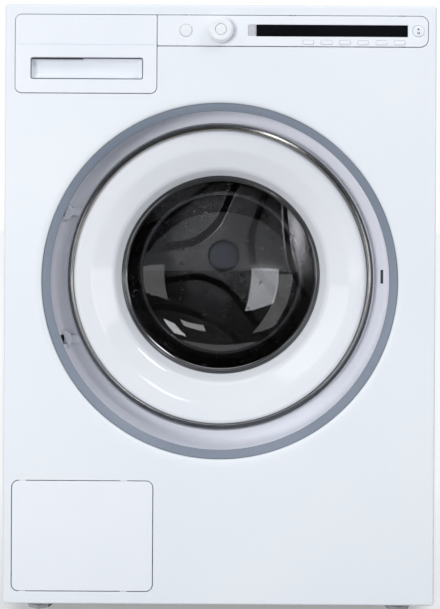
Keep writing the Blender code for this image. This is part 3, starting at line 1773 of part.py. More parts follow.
# Outline of a raised leaf between two of the star's arms, drawn in by an inset
def petal_outline(turn, inset):
    reach = drum_radius - petal_margin - inset
    aside = star_half_width + petal_valley + inset
    swing = math.pi / 3 - math.asin(aside / reach)
    places = [(aside / math.sin(math.pi / 3), 0, petal_apex - inset), (reach, -swing, petal_tip - inset)]
    for k in range(1, petal_arc_steps):
        places.append((reach, swing * (2 * k / petal_arc_steps - 1), 0))
    places.append((reach, swing, petal_tip - inset))
    corners = [
        (distance * math.cos(turn + sweep), door_centre_z + distance * math.sin(turn + sweep), radius)
        for distance, sweep, radius in places
    ]
    return rounded(corners, star_steps)


def make_drum_back(axis):
    line = [
        (bore_start, back_depth), (drum_radius - drum_sheet - seam - back_rim_width, back_depth),
        (drum_radius - drum_sheet - seam - back_rim_curl, back_depth + back_rim_curl / 2),
        (drum_radius - drum_sheet - seam, back_depth + back_rim_step),
        (drum_radius - drum_sheet - seam, drum_end - seam * 2),
    ]
    back = turned("drum_back", shell(line, drum_sheet), (0, door_centre_z), tub_steps)
    foot = back_depth + drum_sheet / 2
    crest = back_depth - star_height
    star = lofted("star", [
        (star_outline(star_slope + star_shoulder), crest), (star_outline(star_slope), crest + star_shoulder),
        (star_outline(0), foot),
    ])
    fuse(back, star)
    for k in range(3):
        turn = star_turn + math.pi / 3 + 2 * math.pi * k / 3
        petal = lofted("petal_" + str(k + 1), [
            (petal_outline(turn, petal_slope + petal_shoulder), back_depth - petal_height),
            (petal_outline(turn, petal_slope), back_depth - petal_height + petal_shoulder),
            (petal_outline(turn, 0), foot),
        ])
        fuse(back, petal)
    bore = rod(
        "hub_hole", hub_neck_radius + hub_hole_gap, (0, crest - overrun, door_centre_z),
        (0, back_depth + drum_sheet + overrun, door_centre_z), tub_steps,
    )
    cut(back, bore)
    finish(back, "drum", axis)


def make_drum_hub(axis):
    crest = back_depth - star_height - seam
    flange = back_depth + drum_sheet + seam
    profile = [
        (0, crest - hub_cap_height),
        (hub_cap_radius - hub_cap_height, crest - hub_cap_height + hub_cap_edge),
        (hub_cap_radius, crest - hub_cap_edge), (hub_cap_radius, crest), (hub_neck_radius, crest),
        (hub_neck_radius, flange), (hub_flange_radius, flange), (hub_flange_radius, flange + hub_flange),
        (hub_root_radius, flange + hub_cone), (shaft_radius, flange + hub_cone + hub_flange),
        (shaft_radius, shaft_end), (0, shaft_end),
    ]
    finish(turned("drum_hub", profile, (0, door_centre_z), tub_steps), "steel", axis)


def make_belt_drive(axis, motor_axis, tub_axis):
    middle = pulley_front + pulley_width / 2
    bore = shaft_radius + pulley_bore_gap
    hub_low, hub_high = middle - pulley_hub_back, middle - pulley_hub_back + pulley_hub_length
    inner = pulley_radius - pulley_rim
    profile = [
        (bore, hub_low), (pulley_hub_radius, hub_low), (pulley_hub_radius, middle - pulley_web / 2),
        (inner, middle - pulley_web / 2), (inner, pulley_front), (pulley_radius, pulley_front),
        (pulley_radius, pulley_front + pulley_width), (inner, pulley_front + pulley_width),
        (inner, middle + pulley_web / 2), (pulley_hub_radius, middle + pulley_web / 2),
        (pulley_hub_radius, hub_high), (bore, hub_high),
    ]
    pulley = turned("drum_pulley", profile, (0, door_centre_z), tub_steps)
    for k in range(pulley_hole_count):
        turn = 2 * math.pi * (k + 0.5) / pulley_hole_count
        x = pulley_hole_distance * math.cos(turn)
        z = door_centre_z + pulley_hole_distance * math.sin(turn)
        hole = rod(
            "pulley_hole_" + str(k + 1), pulley_hole_radius, (x, middle - pulley_web, z),
            (x, middle + pulley_web, z), pin_steps,
        )
        cut(pulley, hole)
    finish(pulley, "dark", axis)

    shaft_start = motor_end - motor_recess
    end = pulley_front + pulley_width
    profile = [
        (0, shaft_start + seam * 2), (motor_shaft_radius, shaft_start + seam * 2),
        (motor_shaft_radius, pulley_front), (motor_pulley_radius, pulley_front),
        (motor_pulley_radius, end), (0, end),
    ]
    finish(turned("motor_pulley", profile, (motor_x, motor_z), small_steps), "steel", motor_axis)

    nose = motor_end + motor_boss
    bore = motor_shaft_radius + shaft_gap
    profile = [
        (0, motor_front), (motor_radius - motor_corner, motor_front),
        (motor_radius, motor_front + motor_corner), (motor_radius, motor_end - motor_corner),
        (motor_radius - motor_corner, motor_end), (motor_boss_radius, motor_end),
        (motor_boss_radius, nose), (bore, nose), (bore, shaft_start), (0, shaft_start),
    ]
    motor = turned("motor_housing", profile, (motor_x, motor_z), small_steps)
    half = motor_lug_width / 2
    bracket = box(
        "motor_bracket", (motor_x - half, motor_lug_start, motor_z + motor_radius - motor_corner),
        (motor_x + half, motor_lug_end, motor_seat_z - seam),
    )
    fuse(motor, bracket)
    finish(motor, "steel", tub_axis)

    belt = [belt_loop(belt_gap + belt_sheet), belt_loop(belt_gap)]
    start = pulley_front + belt_inset
    finish(slab("drive_belt", belt, "front", start, end - belt_inset), "rubber", tub_axis)


# Loop round both pulleys at a distance from their rims: two arcs with straight runs between
def belt_loop(gap):
    big = Vector((0, door_centre_z))
    small = Vector((motor_x, motor_z))
    line = small - big
    bearing = math.atan2(line.y, line.x)
    lean = math.acos((pulley_radius - motor_pulley_radius) / line.length)
    points = []
    for centre, radius, start, sweep, steps in (
        (big, pulley_radius + gap, bearing + lean, 2 * math.pi - 2 * lean, belt_steps),
        (small, motor_pulley_radius + gap, bearing - lean, 2 * lean, pin_steps),
    ):
        for k in range(steps + 1):
            turn = start + sweep * k / steps
            points.append((centre.x + radius * math.cos(turn), centre.y + radius * math.sin(turn)))
    return points


def main():
    start_scene()
    make_front_panel()
    make_side_panel("side_panel_left", "left", -1)
    make_side_panel("side_panel_right", "right", 1)
    make_rear_panel()
    make_top_cover()
    make_base_tray()
    make_feet()
    make_door_surround()
    make_mouth_ring()
    make_hinge_bracket()
    make_door_lock()
    make_door(joint("door_axis", at(hinge_x, hinge_depth, door_centre_z)))
    make_control_panel()
    make_display_window()
    make_control_board()
    make_buttons()
    make_knob()
    make_drawer(joint("drawer_axis", at((drawer_left + drawer_right) / 2, 0, drawer_bottom)))
    make_drawer_housing()
    make_service_flap()
    make_filter()
    make_rear_connections()
    tub_axis = joint("tub_axis", at(0, tub_seam_depth, door_centre_z))
    make_tub(tub_axis)
    make_gasket()
    make_counterweight(tub_axis)
    make_heater(tub_axis)
    make_suspension(tub_axis)
    drum_axis = joint("drum_axis", at(0, back_depth, door_centre_z))
    make_drum_shell(drum_axis)
    make_drum_back(drum_axis)
    make_drum_hub(drum_axis)
    make_belt_drive(drum_axis, joint("motor_axis", at(motor_x, motor_end, motor_z)), tub_axis)


main()
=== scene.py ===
# Looks for the washing machine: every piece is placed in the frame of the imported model.
# The front faces -Y. "Depth" is the distance behind the front panel's face.
import math

import bmesh
import bpy
from mathutils import Matrix, Vector


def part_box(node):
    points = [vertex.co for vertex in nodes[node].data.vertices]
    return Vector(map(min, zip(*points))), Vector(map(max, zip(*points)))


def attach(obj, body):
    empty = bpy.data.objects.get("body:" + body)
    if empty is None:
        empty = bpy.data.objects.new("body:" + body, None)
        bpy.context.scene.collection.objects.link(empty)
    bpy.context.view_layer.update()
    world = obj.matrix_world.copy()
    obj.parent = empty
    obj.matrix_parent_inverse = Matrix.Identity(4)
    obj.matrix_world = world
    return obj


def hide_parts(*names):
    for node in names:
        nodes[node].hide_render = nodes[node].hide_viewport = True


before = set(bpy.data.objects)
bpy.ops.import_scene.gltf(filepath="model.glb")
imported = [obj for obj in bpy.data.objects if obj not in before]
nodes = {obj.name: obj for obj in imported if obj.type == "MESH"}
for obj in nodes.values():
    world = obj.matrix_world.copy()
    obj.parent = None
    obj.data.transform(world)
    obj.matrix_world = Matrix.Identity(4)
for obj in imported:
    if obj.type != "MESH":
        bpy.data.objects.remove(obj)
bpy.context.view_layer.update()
print("stage: frame loaded")

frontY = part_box("front_panel")[0][1]
doorZ = 0.469
weld = 0.00001
leastMitre = 0.3
sharpAngle = math.radians(40)
# Turns a drawing of (u, v) with its height into one that stands upright and faces the front
upright = Matrix(((1, 0, 0), (0, 0, -1), (0, 1, 0))).to_4x4()


def at(x, depth, z):
    return Vector((x, frontY + depth, z))


# Points of the arc that rounds off a corner
def arc(before, corner, after, radius, steps):
    here = Vector(corner)
    back = (Vector(before) - here).normalized()
    ahead = (Vector(after) - here).normalized()
    half = back.angle(ahead) / 2
    centre = here + (back + ahead).normalized() * radius / math.sin(half)
    first = here + back * radius / math.tan(half) - centre
    last = here + ahead * radius / math.tan(half) - centre
    sweep = math.atan2(first.x * last.y - first.y * last.x, first.dot(last))
    return [tuple(centre + Matrix.Rotation(sweep * k / steps, 2) @ first) for k in range(steps + 1)]


# Corners of (u, v, rounding) as a closed outline, or as an open line that keeps its two ends
def rounded(corners, steps=8, closed=True):
    points = []
    for i, (u, v, radius) in enumerate(corners):
        if radius <= 0 or not closed and i in (0, len(corners) - 1):
            points.append((u, v))
        else:
            after = corners[(i + 1) % len(corners)]
            points += arc(corners[i - 1][:2], (u, v), after[:2], radius, steps)
    return points


def rectangle(left, right, low, high, radius=0, steps=8):
    places = ((left, low), (right, low), (right, high), (left, high))
    return rounded([(u, v, radius) for u, v in places], steps)


def circle(u, v, radius, steps=48):
    turns = [2 * math.pi * k / steps for k in range(steps)]
    return [(u + radius * math.cos(turn), v + radius * math.sin(turn)) for turn in turns]


# The outline moved outward by a distance, point by point
def widened(outline, distance):
    points = [Vector(point) for point in outline]
    area = sum(a.x * b.y - b.x * a.y for a, b in zip(points, points[1:] + points[:1]))
    sign = 1 if area > 0 else -1
    moved = []
    for i, here in enumerate(points):
        back = (here - points[i - 1]).normalized()
        ahead = (points[(i + 1) % len(points)] - here).normalized()
        a, b = Vector((back.y, -back.x)), Vector((ahead.y, -ahead.x))
        middle = (a + b).normalized()
        moved.append(tuple(here + middle * sign * distance / max(middle.dot(a), leastMitre)))
    return moved


# How an edge rolls over: pairs of (outward, sunk), starting with a narrow flat strip that keeps
# the face's shading flat
def rolled(width, height, end, steps=6, strip=0.0004):
    moves = [(strip, 0)]
    for k in range(1, steps + 1):
        turn = math.pi / 2 * k / steps
        moves.append((strip + width * math.sin(turn), height * (1 - math.cos(turn))))
    if end > height:
        moves.append((strip + width, end))
    return moves


def filled(outlines):
    curve = bpy.data.curves.new("outline", "CURVE")
    curve.dimensions = "2D"
    curve.fill_mode = "BOTH"
    for outline in outlines:
        spline = curve.splines.new("POLY")
        spline.points.add(len(outline) - 1)
        for point, (u, v) in zip(spline.points, outline):
            point.co = (u, v, 0, 1)
        spline.use_cyclic_u = True
    holder = bpy.data.objects.new("outline", curve)
    bpy.context.scene.collection.objects.link(holder)
    bpy.context.view_layer.update()
    seen = holder.evaluated_get(bpy.context.evaluated_depsgraph_get())
    mesh = bpy.data.meshes.new_from_object(seen)
    bm = bmesh.new()
    bm.from_mesh(mesh)
    bpy.data.meshes.remove(mesh)
    bpy.data.objects.remove(holder, do_unlink=True)
    bpy.data.curves.remove(curve)
    bmesh.ops.remove_doubles(bm, verts=bm.verts, dist=weld)
    return bm


# Bands of faces from each closed loop of points to the next
def joinLoops(bm, loops):
    count = len(loops[0])
    for a, b in zip(loops, loops[1:]):
        for i in range(count):
            j = (i + 1) % count
            bm.faces.new((a[i], a[j], b[j], b[i]))


# Faces from the rim of an outline over its moved copies; a floor closes the last copy
def addRim(bm, outline, moves, sign, floor=False):
    rings = [[(point[0], point[1], 0) for point in outline]]
    for outward, sunk in moves:
        rings.append([(u, v, -sunk) for u, v in widened(outline, outward * sign)])
    loops = [[bm.verts.new(point) for point in ring] for ring in rings]
    joinLoops(bm, loops)
    if floor:
        bm.faces.new(loops[-1])


# A sheet's thickness, as a modifier: offset -1 puts it behind the drawn face, 0 on both sides
def thicken(piece, wall, offset):
    solid = piece.modifiers.new("wall", "SOLIDIFY")
    solid.thickness = wall
    solid.offset = offset


# A plate drawn on the front: its edge and each hole are final outlines with their own roll
def plate(name, outer, outerRoll, holes, depth=0.0, wall=0.0):
    flat = widened(outer, -outerRoll[-1][0])
    rims = [(widened(hole, roll[-1][0]), roll, floor) for hole, roll, floor in holes]
    bm = filled([flat] + [rim[0] for rim in rims])
    addRim(bm, flat, outerRoll, 1)
    for outline, roll, floor in rims:
        addRim(bm, outline, roll, -1, floor)
    bmesh.ops.remove_doubles(bm, verts=bm.verts, dist=weld)
    bmesh.ops.recalc_face_normals(bm, faces=bm.faces)
    flats = [face for face in bm.faces if all(abs(vert.co.z) < weld for vert in face.verts)]
    if flats[0].normal.z < 0:
        bmesh.ops.reverse_faces(bm, faces=bm.faces)
    bm.transform(Matrix.Translation(at(0, depth, 0)) @ upright)
    piece = keep(name, bm)
    if wall:
        thicken(piece, wall, -1)
    return piece


def keep(name, bm):
    mesh = bpy.data.meshes.new(name)
    bm.to_mesh(mesh)
    bm.free()
    mesh.shade_smooth()
    mesh.set_sharp_from_angle(angle=sharpAngle)
    piece = bpy.data.objects.new(name, mesh)
    bpy.context.scene.collection.objects.link(piece)
    return piece


# Turns a closed profile of (radius, depth) about a line through (x, z), the door's if none is given
def lathe(name, profile, steps=192, place=(0, doorZ)):
    bm = bmesh.new()
    loops = []
    for k in range(steps):
        turn = 2 * math.pi * k / steps
        loops.append([
            bm.verts.new(at(place[0] + radius * math.cos(turn), depth, place[1] + radius * math.sin(turn)))
            for radius, depth in profile
        ])
    joinLoops(bm, loops + loops[:1])
    bmesh.ops.remove_doubles(bm, verts=bm.verts, dist=weld / 10)
    bmesh.ops.recalc_face_normals(bm, faces=bm.faces)
    return keep(name, bm)


# The line and its copy moved sideways by the wall, as one closed profile
def shell(line, wall):
    moved = []
    for i, point in enumerate(line):
        here = Vector(point)
        before = Vector(line[i - 1]) if i else None
        after = Vector(line[i + 1]) if i + 1 < len(line) else None
        sides = [(b - a).normalized() for a, b in ((before, here), (here, after)) if None not in (a, b)]
        normals = [Vector((-side.y, side.x)) for side in sides]
        middle = sum(normals, Vector((0, 0))).normalized()
        reach = middle * wall / max(middle.dot(normals[0]), leastMitre)
        moved.append((here.x + reach.x if here.x else 0, here.y + reach.y))
    return list(line) + moved[::-1]


def cutFrom(piece, cutter):
    boolean = piece.modifiers.new("cut", "BOOLEAN")
    boolean.object = cutter
    boolean.solver = "EXACT"
    deps = bpy.context.evaluated_depsgraph_get()
    mesh = bpy.data.meshes.new_from_object(piece.evaluated_get(deps))
    piece.modifiers.clear()
    mesh.set_sharp_from_angle(angle=sharpAngle)
    piece.data = mesh
    bpy.data.objects.remove(cutter, do_unlink=True)


def block(name, low, high, bevel=0.0):
    a, b = at(*low), at(*high)
    bm = bmesh.new()
    place = Matrix.Translation((a + b) / 2) @ Matrix.Diagonal((*(b - a), 1))
    bmesh.ops.create_cube(bm, size=1, matrix=place)
    if bevel:
        bmesh.ops.bevel(bm, geom=bm.edges, offset=bevel, segments=3, profile=0.5, affect="EDGES")
    return keep(name, bm)


toneSpan = (0.35, 0.65)


def addRamp(tree, span, colours):
    node = tree.nodes.new("ShaderNodeValToRGB")
    for element, position, colour in zip(node.color_ramp.elements, span, colours):
        element.position = position
        element.color = (*colour, 1)
    return node


# Procedural finishes: a slow change of tone, a finer change of gloss and a slight relief
def finish(name, look):
    material = bpy.data.materials.new(name)
    material.use_nodes = True
    tree = material.node_tree
    shader = tree.nodes["Principled BSDF"]
    coords = tree.nodes.new("ShaderNodeTexCoord")

    def noise(scale, detail):
        node = tree.nodes.new("ShaderNodeTexNoise")
        node.inputs["Scale"].default_value = scale
        node.inputs["Detail"].default_value = detail
        tree.links.new(coords.outputs["Object"], node.inputs["Vector"])
        return node.outputs["Fac"]

    tone = addRamp(tree, toneSpan, (look["tone"], look["toneTwo"]))
    tree.links.new(noise(look.get("toneScale", 6), 3), tone.inputs["Fac"])
    tree.links.new(tone.outputs["Color"], shader.inputs["Base Color"])
    gloss = tree.nodes.new("ShaderNodeMapRange")
    gloss.inputs["To Min"].default_value = look["gloss"][0]
    gloss.inputs["To Max"].default_value = look["gloss"][1]
    tree.links.new(noise(look.get("glossScale", 40), 4), gloss.inputs["Value"])
    tree.links.new(gloss.outputs["Result"], shader.inputs["Roughness"])
    bump = tree.nodes.new("ShaderNodeBump")
    bump.inputs["Strength"].default_value = look.get("relief", 0.03)
    bump.inputs["Distance"].default_value = look.get("reliefDepth", 0.0004)
    tree.links.new(noise(look.get("reliefScale", 300), 3), bump.inputs["Height"])
    tree.links.new(bump.outputs["Normal"], shader.inputs["Normal"])
    for socket, value in look.get("fixed", {}).items():
        shader.inputs[socket].default_value = value
    return material


# Shows the second shader to one kind of ray, and the first to all the others
def mixByRay(tree, kind, first, second):
    path = tree.nodes.new("ShaderNodeLightPath")
    mix = tree.nodes.new("ShaderNodeMixShader")
    for source, socket in zip((path.outputs[kind], first, second), mix.inputs):
        tree.links.new(source, socket)
    return mix.outputs[0]


# Gives a piece its material and body, and hides the node that it replaces, unless it is an extra
def dress(piece, material, body, node, extra=False):
    piece.data.materials.clear()
    piece.data.materials.append(material)
    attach(piece, body)
    if not extra:
        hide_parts(node)


# Finishes that several pieces share
sharedLooks = {
    "enamel": {
        "tone": (0.800, 0.835, 0.885), "toneTwo": (0.830, 0.860, 0.900), "toneScale": 3,
        "gloss": (0.30, 0.36), "relief": 0.02, "reliefScale": 420, "reliefDepth": 0.0003,
        "fixed": {"Coat Weight": 0.25, "Coat Roughness": 0.18},
    },
    "moulded": {
        "tone": (0.810, 0.840, 0.895), "toneTwo": (0.840, 0.868, 0.915), "toneScale": 5,
        "gloss": (0.34, 0.42), "relief": 0.03, "reliefScale": 700, "reliefDepth": 0.0002,
    },
    "capGloss": {
        "tone": (0.83, 0.85, 0.89), "toneTwo": (0.86, 0.88, 0.92), "toneScale": 8,
        "gloss": (0.20, 0.26), "relief": 0.02, "reliefScale": 500, "reliefDepth": 0.0002,
        "fixed": {"Coat Weight": 0.4, "Coat Roughness": 0.08},
    },
    "steel": {
        "tone": (0.46, 0.46, 0.47), "toneTwo": (0.56, 0.56, 0.57), "toneScale": 14,
        "gloss": (0.26, 0.42), "glossScale": 120, "relief": 0.06, "reliefScale": 260,
        "fixed": {"Metallic": 1.0},
    },
    # Dark plastic for the real dark parts, and painted shade for the dark blocks set in gaps and slots
    "darkPlasticAndShade": {
        "tone": (0.035, 0.036, 0.040), "toneTwo": (0.055, 0.056, 0.060), "toneScale": 20,
        "gloss": (0.45, 0.60), "relief": 0.08, "reliefScale": 500,
    },
    "greyPlastic": {
        "tone": (0.36, 0.37, 0.39), "toneTwo": (0.42, 0.43, 0.45), "toneScale": 10,
        "gloss": (0.48, 0.62), "relief": 0.06, "reliefScale": 350,
    },
}
finishes = {name: finish(name, look) for name, look in sharedLooks.items()}
enamel, moulded, capGloss = finishes["enamel"], finishes["moulded"], finishes["capGloss"]
darkPlasticAndShade = finishes["darkPlasticAndShade"]
print("stage: shared finishes made")


# Front panel: one sheet with rolled edges, a rolled lip at the door and crisp openings
frontPanel = {
    "halfWidth": 0.2975, "low": 0.023, "high": 0.850, "corner": 0.0052, "roll": 0.004, "reach": 0.0182,
    "doorRadius": 0.246, "lipWidth": 0.010, "lipHeight": 0.004, "lipEnd": 0.0055,
    "drawerLeft": -0.2836, "drawerRight": -0.0876, "drawerLow": 0.7266, "stripLow": 0.7922,
    "stripHigh": 0.8358, "stripRight": 0.2858, "drawerCorner": 0.0093, "stripCorner": 0.0118,
    "flapLeft": -0.2854, "flapRight": -0.0899, "flapLow": 0.0410, "flapHigh": 0.1942, "flapCorner": 0.010,
    "innerCorner": 0.0012, "crease": 0.0006, "creaseEnd": 0.0018, "skin": 0.00072,
}


def makeFrontPanel(s):
    outer = rectangle(-s["halfWidth"], s["halfWidth"], s["low"], s["high"], s["corner"], 6)
    opening = rounded((
        (s["drawerLeft"], s["drawerLow"], s["drawerCorner"]),
        (s["drawerRight"], s["drawerLow"], s["drawerCorner"]),
        (s["drawerRight"], s["stripLow"], s["innerCorner"]),
        (s["stripRight"], s["stripLow"], s["stripCorner"]),
        (s["stripRight"], s["stripHigh"], s["stripCorner"]),
        (s["drawerLeft"], s["stripHigh"], s["drawerCorner"]),
    ))
    flap = rectangle(s["flapLeft"], s["flapRight"], s["flapLow"], s["flapHigh"], s["flapCorner"])
    crease = rolled(s["crease"], s["crease"], s["creaseEnd"], 4)
    lip = rolled(s["lipWidth"], s["lipHeight"], s["lipEnd"], 10)
    mouth = circle(0, doorZ, s["doorRadius"], 192)
    holes = [(opening, crease, False), (mouth, lip, False), (flap, crease, False)]
    panel = plate("frontPanel", outer, rolled(s["roll"], s["roll"], s["reach"], 8), holes, wall=s["skin"])
    dress(panel, enamel, "casing", "front_panel")


makeFrontPanel(frontPanel)
print("stage: front panel made")


# Blue-grey band round the door's opening
doorBand = {
    "outer": 0.2455, "inner": 0.2345, "front": 0.0042, "edgeDepth": 0.0104, "wall": 0.0024,
    "skirt": 0.2620, "skirtDepth": 0.0058, "slope": 0.0015, "outerRound": 0.0004, "innerRound": 0.0009,
    "backRound": 0.0006,
    "look": {
        "tone": (0.205, 0.240, 0.300), "toneTwo": (0.245, 0.280, 0.345), "toneScale": 5,
        "gloss": (0.30, 0.40), "relief": 0.03, "reliefScale": 600, "reliefDepth": 0.0002,
    },
}


def makeDoorBand(s):
    outer, skirt, edge, back = s["outer"], s["skirt"], s["edgeDepth"], s["skirtDepth"] + s["wall"]
    corners = [
        (outer, s["front"], s["outerRound"]), (outer, s["skirtDepth"], 0), (skirt, s["skirtDepth"], 0),
        (skirt, back, 0), (outer, back, 0),
        (s["inner"] + s["slope"], edge + s["wall"], s["backRound"]), (s["inner"], edge, s["innerRound"]),
    ]
    band = lathe("doorBand", rounded(corners, 4))
    dress(band, finish("band", s["look"]), "casing", "door_surround")


makeDoorBand(doorBand)


# Dish round the door, with slots for the hinge's goosenecks, the lock's hook and its sign
dish = {
    "mouth": 0.1640, "mouthEnd": 0.0900, "flange": 0.0800, "stepInner": 0.1975, "stepOuter": 0.2070,
    "floor": 0.0680, "wallFoot": 0.2440, "wallTop": 0.2475, "rim": 0.0085, "skirt": 0.2620,
    "sheet": 0.0015, "fillet": 0.0090, "crispRound": 0.0015, "stepRounds": (0.003, 0.004), "cutPast": 0.003,
    "hingeSpread": 0.092, "hingeSlot": (-0.2385, -0.2135), "hingeSlotHalf": 0.0066, "hingeSlotFront": 0.0560,
    "signX": 0.2335, "signWidth": 0.0040, "signHeight": 0.020, "signRise": 0.004,
    "shadeShare": 0.6, "shadeGap": 0.0002, "shadeSheet": 0.0010,
    "catch": (0.185, 0.200), "catchHalf": 0.009, "catchRise": 0.002, "catchPast": 0.004,
    "capX": -0.2255, "capRadius": 0.0122, "capReach": 0.2420, "capFront": 0.0630, "capSheet": 0.0018,
    "capRoll": 0.0008, "capStrip": 0.0002,
    "strapHalf": 0.0056, "strapEnd": -0.1960, "strapFront": 0.0646, "strapCorner": 0.001,
    "strapRoll": 0.0003, "strapSheet": 0.0012, "strapStrip": 0.0001,
    "look": {
        "tone": (0.830, 0.845, 0.925), "toneTwo": (0.855, 0.868, 0.940), "toneScale": 4,
        "gloss": (0.26, 0.34), "relief": 0.02, "reliefScale": 500, "reliefDepth": 0.0002,
        "fixed": {"Coat Weight": 0.2, "Coat Roughness": 0.15},
    },
}


# A slot across the dish, from x to x, front to back, and as high as two halves
def cutSlot(ring, across, front, back, z, half):
    cutFrom(ring, block("slot", (across[0], front, z - half), (across[1], back, z + half)))


def makeDish(s):
    line = rounded([
        (s["mouth"], s["mouthEnd"], 0), (s["mouth"], s["flange"], s["crispRound"]),
        (s["stepInner"], s["flange"], s["stepRounds"][0]), (s["stepOuter"], s["floor"], s["stepRounds"][1]),
        (s["wallFoot"], s["floor"], s["fillet"]), (s["wallTop"], s["rim"], s["crispRound"]),
        (s["skirt"], s["rim"], 0),
    ], 8, False)
    ring = lathe("dish", shell(line, s["sheet"]))
    behind = s["floor"] + s["sheet"]
    for sign in (-1, 1):
        cutSlot(ring, s["hingeSlot"], s["hingeSlotFront"], behind + s["cutPast"],
                doorZ + sign * s["hingeSpread"], s["hingeSlotHalf"])
    slot = (s["signX"] - s["signWidth"] / 2, s["signX"] + s["signWidth"] / 2)
    cutSlot(ring, slot, s["floor"] - s["signRise"], behind + s["cutPast"], doorZ, s["signHeight"] / 2)
    catchEnd = s["flange"] + s["catchPast"]
    cutSlot(ring, s["catch"], s["floor"] - s["catchRise"], catchEnd, doorZ, s["catchHalf"])
    # A dark sheet behind the sign's slot: painted shade inside the slot
    tall = s["signHeight"] * s["shadeShare"]
    signShade = block(
        "lockSignShade", (s["signX"] - s["signWidth"], behind + s["shadeGap"], doorZ - tall),
        (s["signX"] + s["signWidth"], behind + s["shadeGap"] + s["shadeSheet"], doorZ + tall))
    dress(signShade, darkPlasticAndShade, "casing", "mouth_ring", extra=True)
    dishFinish = finish("dish", s["look"])
    dress(ring, dishFinish, "casing", "mouth_ring")

    # Caps over the slots, straight where the dish's wall begins, and the straps that carry the door
    for sign, side in ((-1, "Lower"), (1, "Upper")):
        z = sign * s["hingeSpread"]
        outline = []
        for u, v in circle(s["capX"], z, s["capRadius"], 96):
            pull = min(1, s["capReach"] / math.hypot(u, v))
            outline.append((u * pull, doorZ + v * pull))
        roll = rolled(s["capRoll"], s["capRoll"], s["capSheet"], 4, s["capStrip"])
        cap = plate("hingeCap" + side, outline, roll, [], s["capFront"])
        dress(cap, dishFinish, "door", "hinge_leaf", extra=True)
        half = s["strapHalf"]
        outline = rectangle(s["capX"], s["strapEnd"], doorZ + z - half, doorZ + z + half, s["strapCorner"], 3)
        roll = rolled(s["strapRoll"], s["strapRoll"], s["strapSheet"], 3, s["strapStrip"])
        strap = plate("hingeTongue" + side, outline, roll, [], s["strapFront"])
        dress(strap, dishFinish, "door", "hinge_leaf", extra=True)


makeDish(dish)
print("stage: band and dish made")


# Door: bright trim ring, glossy white ring, glass bowl. A profile here is a list of
# (radius, depth, rounding), each measured from the place that the piece starts at
door = {
    "trimStart": (0.2106, 0.0505), "trim": (
        (0, 0.0012, 0.0003), (0.0010, 0, 0.0006), (0.0084, 0.0013, 0.0020), (0.0102, 0.0042, 0.0014),
        (0.0104, 0.0135, 0.0005), (0.0079, 0.0145, 0.0005), (0, 0.0145, 0)),
    "glassRim": 0.1450, "rimDepth": 0.0860, "front": 0.0470, "wall": 0.003, "ring": (
        (0, 0.0390, 0), (0, 0.0355, 0.0028), (0.0100, 0.0195, 0.020), (0.0400, 0.0042, 0.050),
        (0.0617, -0.0008, 0.0062), (0.0652, 0.0060, 0.0030), (0.0652, 0.0170, 0)),
    "seat": 0.0003, "bowl": (
        (0.0, 1.0), (0.14, 0.995), (0.30, 0.975), (0.43, 0.942), (0.55, 0.898), (0.66, 0.840), (0.76, 0.760),
        (0.84, 0.660), (0.900, 0.540), (0.945, 0.390), (0.975, 0.230), (0.993, 0.090), (1.0, 0.0)),
    "bowlDepth": 0.0752, "bowlRadius": 0.1440, "glassWall": 0.0035, "flange": 0.0065, "edge": (
        (-0.0004, -0.0030, 0.0008), (-0.0026, -0.0032, 0.0010), (-0.0036, -0.0012, 0.0006),
        (-0.0056, -0.0020, 0.0009), (-0.0078, -0.0004, 0.0004), (-0.0078, -0.0001, 0),
        (-0.0004, -0.0001, 0)),
    "trimLook": {
        "tone": (0.62, 0.60, 0.57), "toneTwo": (0.72, 0.71, 0.69), "toneScale": 10,
        "gloss": (0.12, 0.17), "glossScale": 90, "relief": 0.01, "reliefScale": 200,
        "fixed": {"Metallic": 1.0},
    },
    "ringLook": {
        "tone": (0.815, 0.832, 0.875), "toneTwo": (0.838, 0.855, 0.892), "toneScale": 4,
        "gloss": (0.10, 0.14), "relief": 0.008, "reliefScale": 300, "reliefDepth": 0.0002,
        "fixed": {"Coat Weight": 0.8, "Coat Roughness": 0.04},
    },
    "edgeLook": {
        "tone": (0.16, 0.165, 0.175), "toneTwo": (0.21, 0.215, 0.225), "toneScale": 16,
        "gloss": (0.06, 0.11), "relief": 0.01, "reliefScale": 200, "fixed": {"Metallic": 0.85},
    },
    "glassLook": {
        "tone": (0.42, 0.43, 0.46), "toneTwo": (0.46, 0.47, 0.50), "toneScale": 6,
        "gloss": (0.0, 0.004), "relief": 0.0, "reliefScale": 100,
        "fixed": {"Transmission Weight": 1.0, "IOR": 1.5},
    },
}


def shifted(profile, radius, depth):
    return [(radius + u, depth + v, rounding) for u, v, rounding in profile]


def makeDoor(s):
    trim = lathe("trimRing", rounded(shifted(s["trim"], *s["trimStart"]), 5))
    dress(trim, finish("trim", s["trimLook"]), "door", "door_trim_ring")

    line = rounded(shifted(s["ring"], s["glassRim"], s["front"]), 12, False)
    ring = lathe("doorRing", shell(line, s["wall"]), 256)
    dress(ring, finish("doorRing", s["ringLook"]), "door", "door_frame")

    rim = s["rimDepth"] + s["seat"]
    bowl = [(s["bowlRadius"] * a, rim + s["bowlDepth"] * b) for a, b in s["bowl"]]
    bowl.append((s["glassRim"] + s["flange"], rim))
    glass = lathe("glassBowl", shell(bowl, s["glassWall"]), 256)
    dress(glass, finish("glass", s["glassLook"]), "door", "door_glass")
    glass.visible_shadow = False

    # Bright edge where the bowl begins: two beads and a groove between them
    edge = lathe("glassEdge", rounded(shifted(s["edge"], s["glassRim"], rim), 4), 256)
    dress(edge, finish("glassEdge", s["edgeLook"]), "door", "door_glass", extra=True)


makeDoor(door)
print("stage: door made")


